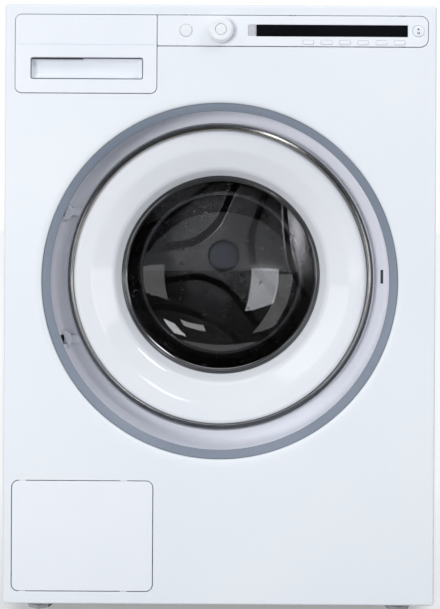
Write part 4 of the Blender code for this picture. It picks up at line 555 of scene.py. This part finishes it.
# Drum: turned shell, three lifters, and a back pressed into a three-armed star with raised leaves
drum = {
    "mouth": 0.1600, "lip": 0.1340, "curl": 0.1275, "curlRound": 0.003, "curlHalf": (0.0035, 0.0008),
    "curlWidth": 0.008, "cone": 0.1330, "radius": 0.2400, "corner": 0.006, "coneEnd": 0.230,
    "cornerDepth": 0.145, "end": 0.4235, "sheet": 0.0010, "steps": 240,
    "lifterTurn": math.radians(9), "lifterSpan": (0.165, 0.395), "lifterHeight": 0.046, "lifterSunk": 0.0008,
    "lifterFoot": 0.034, "lifterCrest": 0.010, "lifterSlope": 0.010, "lifterEdge": 0.004, "flatAngle": 0.02,
    "floor": 0.4100, "rimStart": 0.207, "rimEnd": 0.2165, "rimDrop": 0.007, "backRadius": 0.2375,
    "starTurn": math.radians(188.4), "starRise": 0.019, "armHalf": 0.0300, "armLength": 0.196,
    "armTip": 0.020, "crotch": 0.040, "armSlope": 0.013, "leafEdge": 0.0465, "leafBlend": 0.080,
    "leafSlope": 0.012, "leafRise": 0.0125, "leafDome": 0.0075, "leafCrown": 0.05, "leafReach": 0.199,
    "leafEnd": 0.012, "rings": 130, "spokes": 420,
    # Steel darker than the shared steel: partly the drum's own steel, partly painted shade for the dim inside
    # of the drum
    "look": {
        "tone": (0.25, 0.24, 0.225), "toneTwo": (0.32, 0.305, 0.29), "toneScale": 7,
        "gloss": (0.22, 0.30), "glossScale": 60, "relief": 0.02, "reliefScale": 160,
        "fixed": {"Metallic": 1.0},
    },
    "hubLook": {
        "tone": (0.14, 0.16, 0.20), "toneTwo": (0.18, 0.20, 0.25), "toneScale": 20,
        "gloss": (0.20, 0.28), "relief": 0.02, "reliefScale": 160, "fixed": {"Metallic": 0.9},
    },
    "hubRadius": 0.0289, "hubFront": 0.3852, "hubFoot": 0.3907, "hubSink": 0.0042, "hubDish": 0.00024,
    "hubShoulder": (0.0060, 0.005), "hubEdge": (0.0006, 0.0022),
}


# Smaller of two distances, blended over a width where they are close
def blended(a, b, width):
    near = max(width - abs(a - b), 0) / width
    return min(a, b) - near * near * width / 4


# Goes from 0 to 1 with a level start and end
def smooth(value):
    value = min(max(value, 0), 1)
    return value * value * (3 - 2 * value)


def armDistances(s, x, z):
    found = []
    for k in range(3):
        turn = s["starTurn"] + 2 * math.pi * k / 3
        along = x * math.cos(turn) + z * math.sin(turn)
        across = abs(x * math.sin(turn) - z * math.cos(turn))
        if along < 0:
            found.append(math.hypot(along, across) - s["armHalf"])
            continue
        tip = s["armTip"]
        a = max(along - (s["armLength"] - tip), 0)
        b = max(across - (s["armHalf"] - tip), 0)
        inner = min(max(along - (s["armLength"] - tip), across - (s["armHalf"] - tip)), 0)
        found.append(math.hypot(a, b) + inner - tip)
    return found


def backDepth(s, x, z):
    radius = math.hypot(x, z)
    a, b, c = armDistances(s, x, z)
    star = blended(blended(a, b, s["crotch"]), c, s["crotch"])
    rise = s["starRise"] * smooth(0.5 - star / s["armSlope"])
    wide = blended(blended(a, b, s["leafBlend"]), c, s["leafBlend"]) - s["leafEdge"]
    leaf = smooth(0.5 + wide / s["leafSlope"]) * smooth((s["leafReach"] - radius) / s["leafEnd"] + 0.5)
    rise += leaf * (s["leafRise"] + s["leafDome"] * smooth(wide / s["leafCrown"]))
    drop = s["rimDrop"] * smooth((radius - s["rimStart"]) / (s["rimEnd"] - s["rimStart"]))
    return s["floor"] - rise + drop


def makeLifter(name, turn, s):
    bm = bmesh.new()
    start, end = s["lifterSpan"]
    for sunk, width, inset in ((s["lifterSunk"], s["lifterFoot"], 0),
                               (s["lifterHeight"], s["lifterCrest"], s["lifterSlope"])):
        radius, half = s["radius"] - sunk, width / 2
        low, high = start + inset, end - inset
        for side, depth in ((-1, low), (1, low), (1, high), (-1, high)):
            u = radius * math.cos(turn) - side * half * math.sin(turn)
            v = radius * math.sin(turn) + side * half * math.cos(turn)
            bm.verts.new(at(u, depth, doorZ + v))
    bmesh.ops.convex_hull(bm, input=bm.verts)
    bmesh.ops.dissolve_limit(bm, angle_limit=s["flatAngle"], verts=bm.verts, edges=bm.edges)
    bmesh.ops.bevel(bm, geom=bm.edges, offset=s["lifterEdge"], segments=5, profile=0.5, affect="EDGES")
    return keep(name, bm)


def makeDrumBack(s):
    bm = bmesh.new()
    centre = bm.verts.new(at(0, backDepth(s, 0, 0), doorZ))
    turns = [2 * math.pi * k / s["spokes"] for k in range(s["spokes"])]
    loops = []
    for i in range(1, s["rings"] + 1):
        radius = s["backRadius"] * i / s["rings"]
        places = [(radius * math.cos(turn), radius * math.sin(turn)) for turn in turns]
        loops.append([bm.verts.new(at(x, backDepth(s, x, z), doorZ + z)) for x, z in places])
    first = loops[0]
    for k, point in enumerate(first):
        bm.faces.new((centre, first[(k + 1) % len(first)], point))
    joinLoops(bm, loops)
    bmesh.ops.recalc_face_normals(bm, faces=bm.faces)
    back = keep("drumBack", bm)
    thicken(back, s["sheet"], 0)
    return back


def makeDrum(s):
    material = finish("drumSteelWithShade", s["look"])
    mouth, curl, curlRound = s["mouth"], s["curl"], s["curlRound"]
    line = rounded([
        (mouth, s["lip"], 0), (mouth + s["curlHalf"][0], curl + s["curlHalf"][1], curlRound),
        (mouth + s["curlWidth"], curl, curlRound), (s["coneEnd"], s["cone"], s["corner"]),
        (s["radius"], s["cornerDepth"], s["corner"]), (s["radius"], s["end"], 0),
    ], 8, False)
    body = lathe("drumShell", shell(line, s["sheet"]), s["steps"])
    dress(body, material, "drum", "drum_shell")
    for k in range(3):
        lifter = makeLifter("lifter" + str(k + 1), s["lifterTurn"] + 2 * math.pi * k / 3, s)
        dress(lifter, material, "drum", "drum_shell", extra=True)
    dress(makeDrumBack(s), material, "drum", "drum_back")

    radius, front = s["hubRadius"], s["hubFront"]
    inset, shoulder = s["hubShoulder"]
    lip, edge = s["hubEdge"]
    hub = rounded([
        (0, front + s["hubDish"], 0), (radius - inset, front, shoulder),
        (radius - lip, front + s["hubSink"], edge), (radius, s["hubFoot"], 0), (0, s["hubFoot"], 0),
    ], 6)
    dress(lathe("hubCap", hub, 96), finish("hubSteel", s["hubLook"]), "drum", "drum_hub", extra=True)


makeDrum(drum)
print("stage: drum made")


# Control strip with its window, light lens, knob and buttons
strip = {
    "left": -0.0876, "right": 0.285, "low": 0.793, "high": 0.835, "corner": 0.011, "front": -0.001,
    "roll": 0.0011, "reach": 0.0110, "crease": 0.0004, "wall": 0.0022,
    "window": (0.0485, 0.2568, 0.8066, 0.8225), "windowFront": -0.0007, "windowGap": 0.00024,
    "windowCorners": (0.0009, 0.0007), "lens": (0.0370, 0.0479, 0.8074, 0.8224), "lensInset": 0.0002,
    "lensCorners": (0.0020, 0.0018),
    "inlayWall": 0.0005, "inlayEnd": 0.002, "lensSunk": 0.0003, "endCorner": 0.0016,
    "strip": 0.0002,
    "skin": 0.00088, "softEdge": 0.0002, "pillRound": 0.92, "pillWall": 0.0006, "pillSunk": 0.0001,
    "powerX": -0.0483, "powerZ": 0.8142, "powerRadius": 0.0083, "startX": 0.2714, "startZ": 0.8148,
    "startRadius": 0.0078, "gap": 0.0004, "capHoleGap": 0.0012, "pillGap": 0.0003, "crown": 0.0006,
    "proud": 0.0004, "buttonBack": 0.003, "domeShoulder": 0.55, "domeDrop": 0.75, "domeRound": 0.4,
    "domeEdge": 0.0004, "optionFirst": 0.120, "optionPitch": 0.02515, "optionCount": 6, "optionZ": 0.7985,
    "optionWidth": 0.0155, "optionHeight": 0.0059,
    "markSheet": 0.00005, "markLift": 0.00006, "markSize": 0.00312, "signRise": 0.75, "barsDrop": 1.7,
    "shadeDashes": {"High": (-0.0515, 0.0985, 0.2490), "Low": (-0.0510, 0.0018, 0.0990, 0.1700, 0.2495)},
    "dashHalf": 0.0052, "dashTall": 0.00028, "dashOut": 0.0004, "dashDepth": (0.0002, 0.0022),
    "dashBevel": 0.0001, "windowRoll": (0.0003, 0.0003), "lensRoll": (0.0006, 0.0005),
    "pillRoll": (0.0014, 0.0005), "fineStrip": 0.0001,
    "windowLook": {
        "tone": (0.0035, 0.0040, 0.0055), "toneTwo": (0.0055, 0.0060, 0.0080), "toneScale": 12,
        "gloss": (0.08, 0.12), "relief": 0.004, "reliefScale": 200, "reliefDepth": 0.0002,
        "fixed": {"Specular IOR Level": 0.12},
    },
    "lensLook": {
        "tone": (0.52, 0.52, 0.59), "toneTwo": (0.58, 0.58, 0.65), "toneScale": 30,
        "gloss": (0.22, 0.30), "relief": 0.01, "reliefScale": 300,
    },
    "markLook": {
        "tone": (0.035, 0.037, 0.045), "toneTwo": (0.05, 0.052, 0.06), "toneScale": 30,
        "gloss": (0.5, 0.6), "relief": 0.01, "reliefScale": 900,
    },
}


def makeDome(name, x, z, radius, front, s):
    crown, back = s["crown"], s["buttonBack"]
    profile = rounded([
        (0, front - crown, 0),
        (radius * s["domeShoulder"], front - crown * s["domeDrop"], radius * s["domeRound"]),
        (radius, front, s["domeEdge"]), (radius, back, 0), (0, back, 0),
    ], 6)
    return lathe(name, profile, 72, (x, z))


# Thin flat marks a hair in front of a face
def mark(name, outlines, depth, thickness):
    bm = filled(outlines)
    bm.transform(Matrix.Translation(at(0, depth, 0)) @ upright)
    bmesh.ops.recalc_face_normals(bm, faces=bm.faces)
    piece = keep(name, bm)
    thicken(piece, thickness, 0)
    return piece


def makeStrip(s):
    optionX = [s["optionFirst"] + s["optionPitch"] * k for k in range(s["optionCount"])]
    half, tall = s["optionWidth"] / 2, s["optionHeight"] / 2

    def pill(x, gap):
        high = tall + gap
        wide = half + gap
        return rectangle(x - wide, x + wide, s["optionZ"] - high, s["optionZ"] + high, high * s["pillRound"])

    def inlay(part, grow, corner):
        left, right, low, high = s[part]
        return rectangle(left - grow, right + grow, low - grow, high + grow, corner)

    crease = rolled(s["crease"], s["crease"], s["wall"], 4, s["strip"])
    soft = rolled(s["crease"], s["softEdge"], s["wall"], 4, s["strip"])
    openings = [
        inlay("window", s["windowGap"], s["windowCorners"][0]), inlay("lens", 0, s["lensCorners"][0]),
        circle(0, knob["z"], knob["capRadius"] + s["capHoleGap"], 72),
    ]
    for part in ("power", "start"):
        openings.append(circle(s[part + "X"], s[part + "Z"], s[part + "Radius"] + s["gap"], 72))
    holes = [(outline, crease, False) for outline in openings]
    holes += [(pill(x, s["pillGap"]), soft, False) for x in optionX]
    outer = rounded([
        (s["left"], s["low"], s["endCorner"]), (s["right"], s["low"], s["corner"]),
        (s["right"], s["high"], s["corner"]), (s["left"], s["high"], s["endCorner"]),
    ])
    roll = rolled(s["roll"], s["roll"], s["reach"], 6)
    panel = plate("controlStrip", outer, roll, holes, s["front"], s["skin"])
    dress(panel, moulded, "casing", "control_panel")

    roll = rolled(*s["windowRoll"], s["inlayEnd"], 3, s["fineStrip"])
    outline = inlay("window", 0, s["windowCorners"][1])
    screen = plate("displayWindow", outline, roll, [], s["windowFront"], s["inlayWall"])
    dress(screen, finish("window", s["windowLook"]), "casing", "display_window")
    roll = rolled(*s["lensRoll"], s["inlayEnd"], 4, s["fineStrip"])
    outline = inlay("lens", -s["lensInset"], s["lensCorners"][1])
    lamp = plate("lightLens", outline, roll, [], s["front"] + s["lensSunk"], s["inlayWall"])
    dress(lamp, finish("lens", s["lensLook"]), "casing", "control_panel", extra=True)

    front = s["front"] - s["proud"]
    for part, body in (("power", "power"), ("start", "start_pause")):
        dome = makeDome(part + "Button", s[part + "X"], s[part + "Z"], s[part + "Radius"], front, s)
        dress(dome, capGloss, body, body + "_button")
    roll = rolled(*s["pillRoll"], s["buttonBack"], 5, s["fineStrip"])
    for k, x in enumerate(optionX):
        number = str(k + 1)
        button = plate("optionButton" + number, pill(x, 0), roll, [], front - s["pillSunk"], s["pillWall"])
        dress(button, moulded, "option_" + number, "option_button_" + number)

    # Start and pause: a triangle over two bars, drawn in units of the mark's size
    size, x = s["markSize"], s["startX"]
    z = s["startZ"] + size * s["signRise"]
    shapes = [[(x + u * size, z + v * size) for u, v in ((-0.40, -0.55), (0.60, 0), (-0.40, 0.55))]]
    z -= size * s["barsDrop"]
    for low, high in ((-0.45, -0.13), (0.15, 0.47)):
        bar = ((low, -0.5), (high, -0.5), (high, 0.5), (low, 0.5))
        shapes.append([(x + u * size, z + v * size) for u, v in bar])
    ink = mark("startMark", shapes, front - s["crown"] - s["markLift"], s["markSheet"])
    dress(ink, finish("ink", s["markLook"]), "start_pause", "start_pause_button", extra=True)

    # Dark blocks in the seam round the strip: painted shade that darkens short lengths of it
    near, far = s["dashDepth"]
    for side, z in (("High", s["high"] + s["dashOut"]), ("Low", s["low"] - s["dashOut"])):
        for k, x in enumerate(s["shadeDashes"][side]):
            seamShade = block("seamShadeDash" + side + str(k + 1), (x - s["dashHalf"], near, z - s["dashTall"]),
                         (x + s["dashHalf"], far, z + s["dashTall"]), s["dashBevel"])
            dress(seamShade, darkPlasticAndShade, "casing", "control_panel", extra=True)


# Programme knob: a hollow ring with a press cap in its middle
knob = {
    "z": 0.8137, "radius": 0.0173, "back": -0.0013, "front": -0.0175, "capRadius": 0.0074, "capGap": 0.0004,
    "ring": ((0.0030, 0, 0.0022), (0.0004, 0.0034, 0.0020)), "boreEdge": (0.0004, 0.0003),
    "backEdge": (0.0008, 0.0005, 0.0003), "cap": (
        (0.0010, 0.0002, 0.0008), (0, 0.0012, 0.0006)), "capProud": 0.0001,
}


def makeKnob(s):
    radius, front, back = s["radius"], s["front"], s["back"]
    bore = s["capRadius"] + s["capGap"]
    drop, boreRound = s["boreEdge"]
    lift, outerRound, backRound = s["backEdge"]
    line = [(bore, front + drop, boreRound)]
    line += [(radius - inset, front + sunk, rounding) for inset, sunk, rounding in s["ring"]]
    line += [(radius, back - lift, outerRound), (radius - lift, back, backRound), (bore, back, 0)]
    ring = lathe("selectorKnob", rounded(line, 6), 160, (0, s["z"]))
    dress(ring, capGloss, "selector", "selector_knob")
    line = [(0, front - s["capProud"], 0)]
    line += [(s["capRadius"] - inset, front + sunk, rounding) for inset, sunk, rounding in s["cap"]]
    line += [(s["capRadius"], back, 0), (0, back, 0)]
    cap = lathe("knobCap", rounded(line, 5), 96, (0, s["z"]))
    dress(cap, capGloss, "selector_cap", "knob_cap")


makeStrip(strip)
makeKnob(knob)
print("stage: control strip made")


# Detergent drawer's front with its finger recess, and the flap over the filter
drawer = {
    "left": -0.2828, "right": -0.0884, "low": 0.7274, "high": 0.835, "corner": 0.0085, "front": -0.001,
    "crispCorner": 0.0016, "roll": 0.0011, "reach": 0.016, "wall": 0.0016,
    "grooveZ": 0.794, "groove": 0.0009, "grooveDepth": 0.0011, "past": 0.002,
    "recessLeft": -0.2617, "recessRight": -0.1072, "recessLow": 0.7464, "recessHigh": 0.776,
    "recessCorner": 0.003, "recessDepth": 0.0145, "lip": 0.0011, "lipStrip": 0.0003, "fillet": 0.0085,
    "cupLip": 0.15, "cupSteps": 9, "narrowShare": 0.8, "lowShare": 0.7, "roundShare": 0.45,
    "leastRound": 0.0019,
    "shadeSplit": -0.1900, "shadeEnds": 0.0016, "shadeHigh": 0.00066, "shadePast": 0.0006,
    "shadeTall": {"Wide": 0.0019, "Thin": 0.000665}, "shadeDepth": (0.0008, 0.0040), "shadeBevel": 0.0001,
}
flap = {
    "left": -0.2844, "right": -0.0909, "low": 0.042, "high": 0.1932, "corner": 0.009, "roll": 0.0009,
    "sheet": 0.0022, "skin": 0.0011, "markX": -0.0987, "markZ": 0.1156, "markHalf": 0.0011,
    "markTall": 0.0100, "markRound": 0.98, "markFront": -0.0002, "markRoll": (0.0005, 0.00022, 0.0006),
    "markStrip": 0.0001,
    "tabs": (-0.2700, -0.1307), "tabHalf": 0.0045, "tabStart": 0.0002, "tabReach": 0.0012,
    "tabDepth": (0.0002, 0.0012), "tabBevel": 0.0001,
}


# The bowl behind the recess's lip: walls that curve into a flat floor
def makeRecess(s):
    bm = bmesh.new()
    fillet, lip = s["fillet"], s["lip"]
    wall = s["recessDepth"] - fillet
    rings = [(0.0, wall * s["cupLip"]), (0.0, wall)]
    for k in range(1, s["cupSteps"] + 1):
        turn = math.pi / 2 * k / s["cupSteps"]
        rings.append((fillet * (1 - math.cos(turn)), wall + fillet * math.sin(turn)))
    loops = []
    for inset, sunk in rings:
        aside, across = lip + inset * s["narrowShare"], lip + inset * s["lowShare"]
        corner = max(s["recessCorner"] - lip + inset * s["roundShare"], s["leastRound"])
        ring = rectangle(s["recessLeft"] + aside, s["recessRight"] - aside, s["recessLow"] + across,
                         s["recessHigh"] - across, corner)
        loops.append([bm.verts.new(at(u, s["front"] + sunk, v)) for u, v in ring])
    joinLoops(bm, loops)
    bm.faces.new(loops[-1])
    bmesh.ops.recalc_face_normals(bm, faces=bm.faces)
    return keep("drawerRecess", bm)


def makeDrawerFront(s):
    corner, crisp, lip = s["corner"], s["crispCorner"], s["lip"]
    outer = rounded(((s["left"], s["low"], corner), (s["right"], s["low"], corner),
                     (s["right"], s["high"], crisp), (s["left"], s["high"], corner)))
    recess = rectangle(s["recessLeft"], s["recessRight"], s["recessLow"], s["recessHigh"], s["recessCorner"])
    holes = [(recess, rolled(lip, lip, lip, 5, s["lipStrip"]), False)]
    roll = rolled(s["roll"], s["roll"], s["reach"], 6)
    face = plate("drawerFront", outer, roll, holes, s["front"], s["wall"])
    cutFrom(face, block(
        "groove", (s["left"] - s["past"], s["front"] - s["past"], s["grooveZ"] - s["groove"] / 2),
        (s["right"] + s["past"], s["front"] + s["grooveDepth"], s["grooveZ"] + s["groove"] / 2)))
    dress(face, moulded, "drawer", "drawer_front")
    dress(makeRecess(s), moulded, "drawer", "drawer_front", extra=True)

    # Dark blocks at the top of the recess: painted shade of the gap above it, which looks open over its left
    # part and thin over the rest
    high = s["recessHigh"] - s["shadeHigh"]
    left, right = s["recessLeft"] + s["shadeEnds"], s["recessRight"] - s["shadeEnds"]
    near, far = s["front"] + s["shadeDepth"][0], s["front"] + s["shadeDepth"][1]
    for part, start, end in (("Wide", left, s["shadeSplit"]), ("Thin", s["shadeSplit"], right)):
        slot = block("drawerSlotShade" + part, (start, near, high - s["shadeTall"][part]),
                     (end, far, high + s["shadePast"]), s["shadeBevel"])
        dress(slot, darkPlasticAndShade, "drawer", "drawer_front", extra=True)


def makeFlap(s):
    outer = rectangle(s["left"], s["right"], s["low"], s["high"], s["corner"])
    cover = plate("serviceFlap", outer, rolled(s["roll"], s["roll"], s["sheet"], 5), [], 0, s["skin"])
    dress(cover, moulded, "flap", "service_flap")
    x, z, half, tall = s["markX"], s["markZ"], s["markHalf"], s["markTall"]
    pill = rectangle(x - half, x + half, z - tall, z + tall, half * s["markRound"], 6)
    rise = plate("flapMark", pill, rolled(*s["markRoll"], 4, s["markStrip"]), [], s["markFront"])
    dress(rise, moulded, "flap", "service_flap", extra=True)
    near, far = s["tabDepth"]
    for k, x in enumerate(s["tabs"]):
        for side, edge, out in (("Low", s["low"], -1), ("High", s["high"], 1)):
            low, high = sorted((edge + out * s["tabStart"], edge + out * s["tabReach"]))
            tab = block("flapTab" + side + str(k + 1), (x - s["tabHalf"], near, low),
                        (x + s["tabHalf"], far, high), s["tabBevel"])
            dress(tab, moulded, "casing", "front_panel", extra=True)


makeDrawerFront(drawer)
makeFlap(flap)
print("stage: drawer front and flap made")


# CAD nodes that keep their shape get a material of their own
plainLooks = {
    "zinc": {
        "tone": (0.40, 0.41, 0.42), "toneTwo": (0.54, 0.55, 0.56), "toneScale": 28,
        "gloss": (0.34, 0.52), "glossScale": 70, "relief": 0.05, "reliefScale": 120,
        "fixed": {"Metallic": 0.9},
    },
    "rubber": {
        "tone": (0.19, 0.20, 0.215), "toneTwo": (0.23, 0.24, 0.26), "toneScale": 8,
        "gloss": (0.55, 0.70), "relief": 0.12, "reliefScale": 320,
    },
    "tubPlastic": {
        "tone": (0.40, 0.41, 0.43), "toneTwo": (0.47, 0.48, 0.50), "toneScale": 9,
        "gloss": (0.50, 0.64), "relief": 0.08, "reliefScale": 260,
    },
    "castIron": {
        "tone": (0.21, 0.21, 0.22), "toneTwo": (0.30, 0.30, 0.31), "toneScale": 26,
        "gloss": (0.60, 0.85), "relief": 0.30, "reliefScale": 180, "reliefDepth": 0.0008,
        "fixed": {"Metallic": 0.2},
    },
    "castAlloy": {
        "tone": (0.42, 0.43, 0.44), "toneTwo": (0.54, 0.55, 0.56), "toneScale": 16,
        "gloss": (0.38, 0.55), "relief": 0.16, "reliefScale": 240, "fixed": {"Metallic": 0.9},
    },
    "boardGreen": {
        "tone": (0.030, 0.150, 0.080), "toneTwo": (0.045, 0.200, 0.110), "toneScale": 60,
        "gloss": (0.30, 0.45), "relief": 0.10, "reliefScale": 500,
    },
    "beltRubber": {
        "tone": (0.022, 0.022, 0.024), "toneTwo": (0.040, 0.040, 0.042), "toneScale": 40,
        "gloss": (0.55, 0.75), "relief": 0.20, "reliefScale": 600,
    },
}
plainNodes = {
    "zinc": ("rear_panel",), "rubber": ("door_gasket",), "beltRubber": ("drive_belt",),
    "tubPlastic": ("tub_front", "tub_rear"), "castIron": ("counterweight",),
    "castAlloy": ("motor_housing", "drum_pulley"), "boardGreen": ("control_board",),
    "enamel": ("side_panel_left", "side_panel_right", "top_cover"),
    "darkPlasticAndShade": (
        "base_tray", "door_lock", "damper_cylinder_left", "damper_cylinder_right", "mains_gland",
        "filter_cap"),
    "moulded": ("drawer_tray", "drawer_housing", "inlet_valve", "door_back_ring"),
    "greyPlastic": (
        "pump_housing", "foot_front_left", "foot_front_right", "foot_rear_left", "foot_rear_right"),
    "steel": (
        "hinge_bracket", "hinge_leaf", "door_hook", "spring_left", "spring_right", "heater",
        "damper_rod_left", "damper_rod_right", "drum_bearing", "drum_hub", "motor_pulley"),
}
finishes.update((name, finish(name, look)) for name, look in plainLooks.items())
for finishName, names in plainNodes.items():
    for name in names:
        nodes[name].data.materials.clear()
        nodes[name].data.materials.append(finishes[finishName])
print("stage: materials of the kept nodes set")


# Floor, lamps, white background and camera. The room is a dark wall far in front that only
# reflections see, so that metal and glass show dark parts between the windows
studio = {
    "floorHalf": 8.0, "floorShade": (0.40, 0.40, 0.40, 1), "floorLook": {
        "tone": (0.90, 0.905, 0.91), "toneTwo": (0.909, 0.91405, 0.9191), "toneScale": 2,
        "gloss": (0.75, 0.85), "relief": 0.01, "reliefScale": 50,
        "fixed": {"Emission Color": (1, 1, 1, 1), "Emission Strength": 0.26},
    },
    "worldTop": (0.94, 0.97, 1.0), "worldLow": (0.66, 0.70, 0.78), "worldStrength": 0.74,
    "worldSpan": (0.30, 0.75),
    "roomRadius": 5.0, "roomHigh": 6.8, "roomTurn": 105, "roomParts": 32, "roomLow": 0.015, "roomTop": 0.09,
    "flagReach": 0.62, "flagHalf": 1.2, "flagGap": 0.01, "flagZ": 0.001,
    "lamps": {
        "front": {"power": 76, "size": (1.3, 1.3), "place": (-1.4, -4.0, 0.62), "glossy": False},
        "key": {"power": 17, "size": (0.9, 0.9), "place": (1.9, -2.2, 2.5)},
        "rightWindow": {"power": 17, "size": (2.6, 1.6), "place": (2.3, -2.0, 0.20), "soft": False},
        "leftWindow": {"power": 14, "size": (1.5, 2.6), "place": (-2.2, -2.8, 1.45), "soft": False},
        "topWindow": {"power": 4, "size": (0.9, 0.4), "place": (0.9, -3.2, 1.95), "soft": False},
    },
    "aim": (0, 0, 0.45),
    "sensor": 36, "lens": 77.3, "shiftX": -0.0386, "shiftY": -0.3049, "cameraX": 0.0229, "cameraAway": 1.3,
    "cameraZ": 0.622, "roll": -0.32,
}


def makeFloor(s):
    bm = bmesh.new()
    bmesh.ops.create_grid(bm, x_segments=4, y_segments=4, size=s["floorHalf"])
    floor = keep("floor", bm)
    seen = finish("floor", s["floorLook"])
    tree = seen.node_tree
    shaded = tree.nodes.new("ShaderNodeBsdfDiffuse")
    shaded.inputs["Color"].default_value = s["floorShade"]
    both = mixByRay(tree, "Is Camera Ray", shaded.outputs[0], tree.nodes["Principled BSDF"].outputs[0])
    tree.links.new(both, tree.nodes["Material Output"].inputs["Surface"])
    floor.data.materials.append(seen)


def makeRoom(s):
    bm = bmesh.new()
    rows = []
    for z in (0.0, s["roomHigh"]):
        row = []
        for k in range(s["roomParts"] + 1):
            turn = math.radians(s["roomTurn"] * (2 * k / s["roomParts"] - 1))
            row.append(bm.verts.new((s["roomRadius"] * math.sin(turn), -s["roomRadius"] * math.cos(turn), z)))
        rows.append(row)
    for k in range(s["roomParts"]):
        bm.faces.new((rows[0][k], rows[0][k + 1], rows[1][k + 1], rows[1][k]))
    half, far, near = s["flagHalf"], frontY - s["flagReach"], frontY - s["flagGap"]
    corners = ((-half, far), (half, far), (half, near), (-half, near))
    bm.faces.new([bm.verts.new((x, y, s["flagZ"])) for x, y in corners])
    room = keep("room", bm)
    material = bpy.data.materials.new("room")
    material.use_nodes = True
    tree = material.node_tree
    tree.nodes.remove(tree.nodes["Principled BSDF"])
    coords = tree.nodes.new("ShaderNodeTexCoord")
    split = tree.nodes.new("ShaderNodeSeparateXYZ")
    spread = tree.nodes.new("ShaderNodeMapRange")
    glow = tree.nodes.new("ShaderNodeEmission")
    spread.inputs["To Min"].default_value = s["roomLow"]
    spread.inputs["To Max"].default_value = s["roomTop"]
    tree.links.new(coords.outputs["Generated"], split.inputs[0])
    tree.links.new(split.outputs["Z"], spread.inputs["Value"])
    tree.links.new(spread.outputs["Result"], glow.inputs["Strength"])
    tree.links.new(glow.outputs[0], tree.nodes["Material Output"].inputs["Surface"])
    room.data.materials.append(material)
    room.visible_camera = False
    room.visible_diffuse = False
    room.visible_shadow = False


def makeLamp(name, lamp, aim):
    data = bpy.data.lights.new(name, "AREA")
    data.energy = lamp["power"]
    data.shape = "RECTANGLE"
    data.size, data.size_y = lamp["size"]
    holder = bpy.data.objects.new(name, data)
    holder.location = lamp["place"]
    holder.rotation_euler = (Vector(aim) - Vector(lamp["place"])).to_track_quat("-Z", "Y").to_euler()
    holder.visible_glossy = lamp.get("glossy", True)
    holder.visible_diffuse = lamp.get("soft", True)
    bpy.context.scene.collection.objects.link(holder)


def makeWorld(s):
    world = bpy.data.worlds.new("studio")
    bpy.context.scene.world = world
    world.use_nodes = True
    tree = world.node_tree
    tree.nodes.clear()
    coords = tree.nodes.new("ShaderNodeTexCoord")
    split = tree.nodes.new("ShaderNodeSeparateXYZ")
    tree.links.new(coords.outputs["Generated"], split.inputs[0])

    def backdrop(low, high, strength):
        ramp = addRamp(tree, s["worldSpan"], (low, high))
        spread = tree.nodes.new("ShaderNodeMapRange")
        spread.inputs["From Min"].default_value = -1
        tree.links.new(split.outputs["Z"], spread.inputs["Value"])
        tree.links.new(spread.outputs["Result"], ramp.inputs["Fac"])
        shade = tree.nodes.new("ShaderNodeBackground")
        tree.links.new(ramp.outputs["Color"], shade.inputs["Color"])
        shade.inputs["Strength"].default_value = strength
        return shade.outputs[0]

    now = backdrop(s["worldLow"], s["worldTop"], s["worldStrength"])
    white = backdrop((1, 1, 1), (1, 1, 1), 1)
    for kind in ("Is Camera Ray", "Is Glossy Ray", "Is Transmission Ray"):
        now = mixByRay(tree, kind, now, white)
    out = tree.nodes.new("ShaderNodeOutputWorld")
    tree.links.new(now, out.inputs["Surface"])


def makeCamera(s):
    data = bpy.data.cameras.new("camera")
    data.sensor_fit = "HORIZONTAL"
    data.sensor_width = s["sensor"]
    data.lens = s["lens"]
    data.shift_x = s["shiftX"]
    data.shift_y = s["shiftY"]
    camera = bpy.data.objects.new("camera", data)
    camera.location = (s["cameraX"], frontY - s["cameraAway"], s["cameraZ"])
    camera.rotation_euler = (math.radians(90), math.radians(s["roll"]), 0)
    bpy.context.scene.collection.objects.link(camera)
    bpy.context.scene.camera = camera


makeFloor(studio)
makeRoom(studio)
for name, lamp in studio["lamps"].items():
    makeLamp(name, lamp, studio["aim"])
makeWorld(studio)
makeCamera(studio)
bpy.context.scene.view_settings.view_transform = "Standard"
print("stage: studio made")
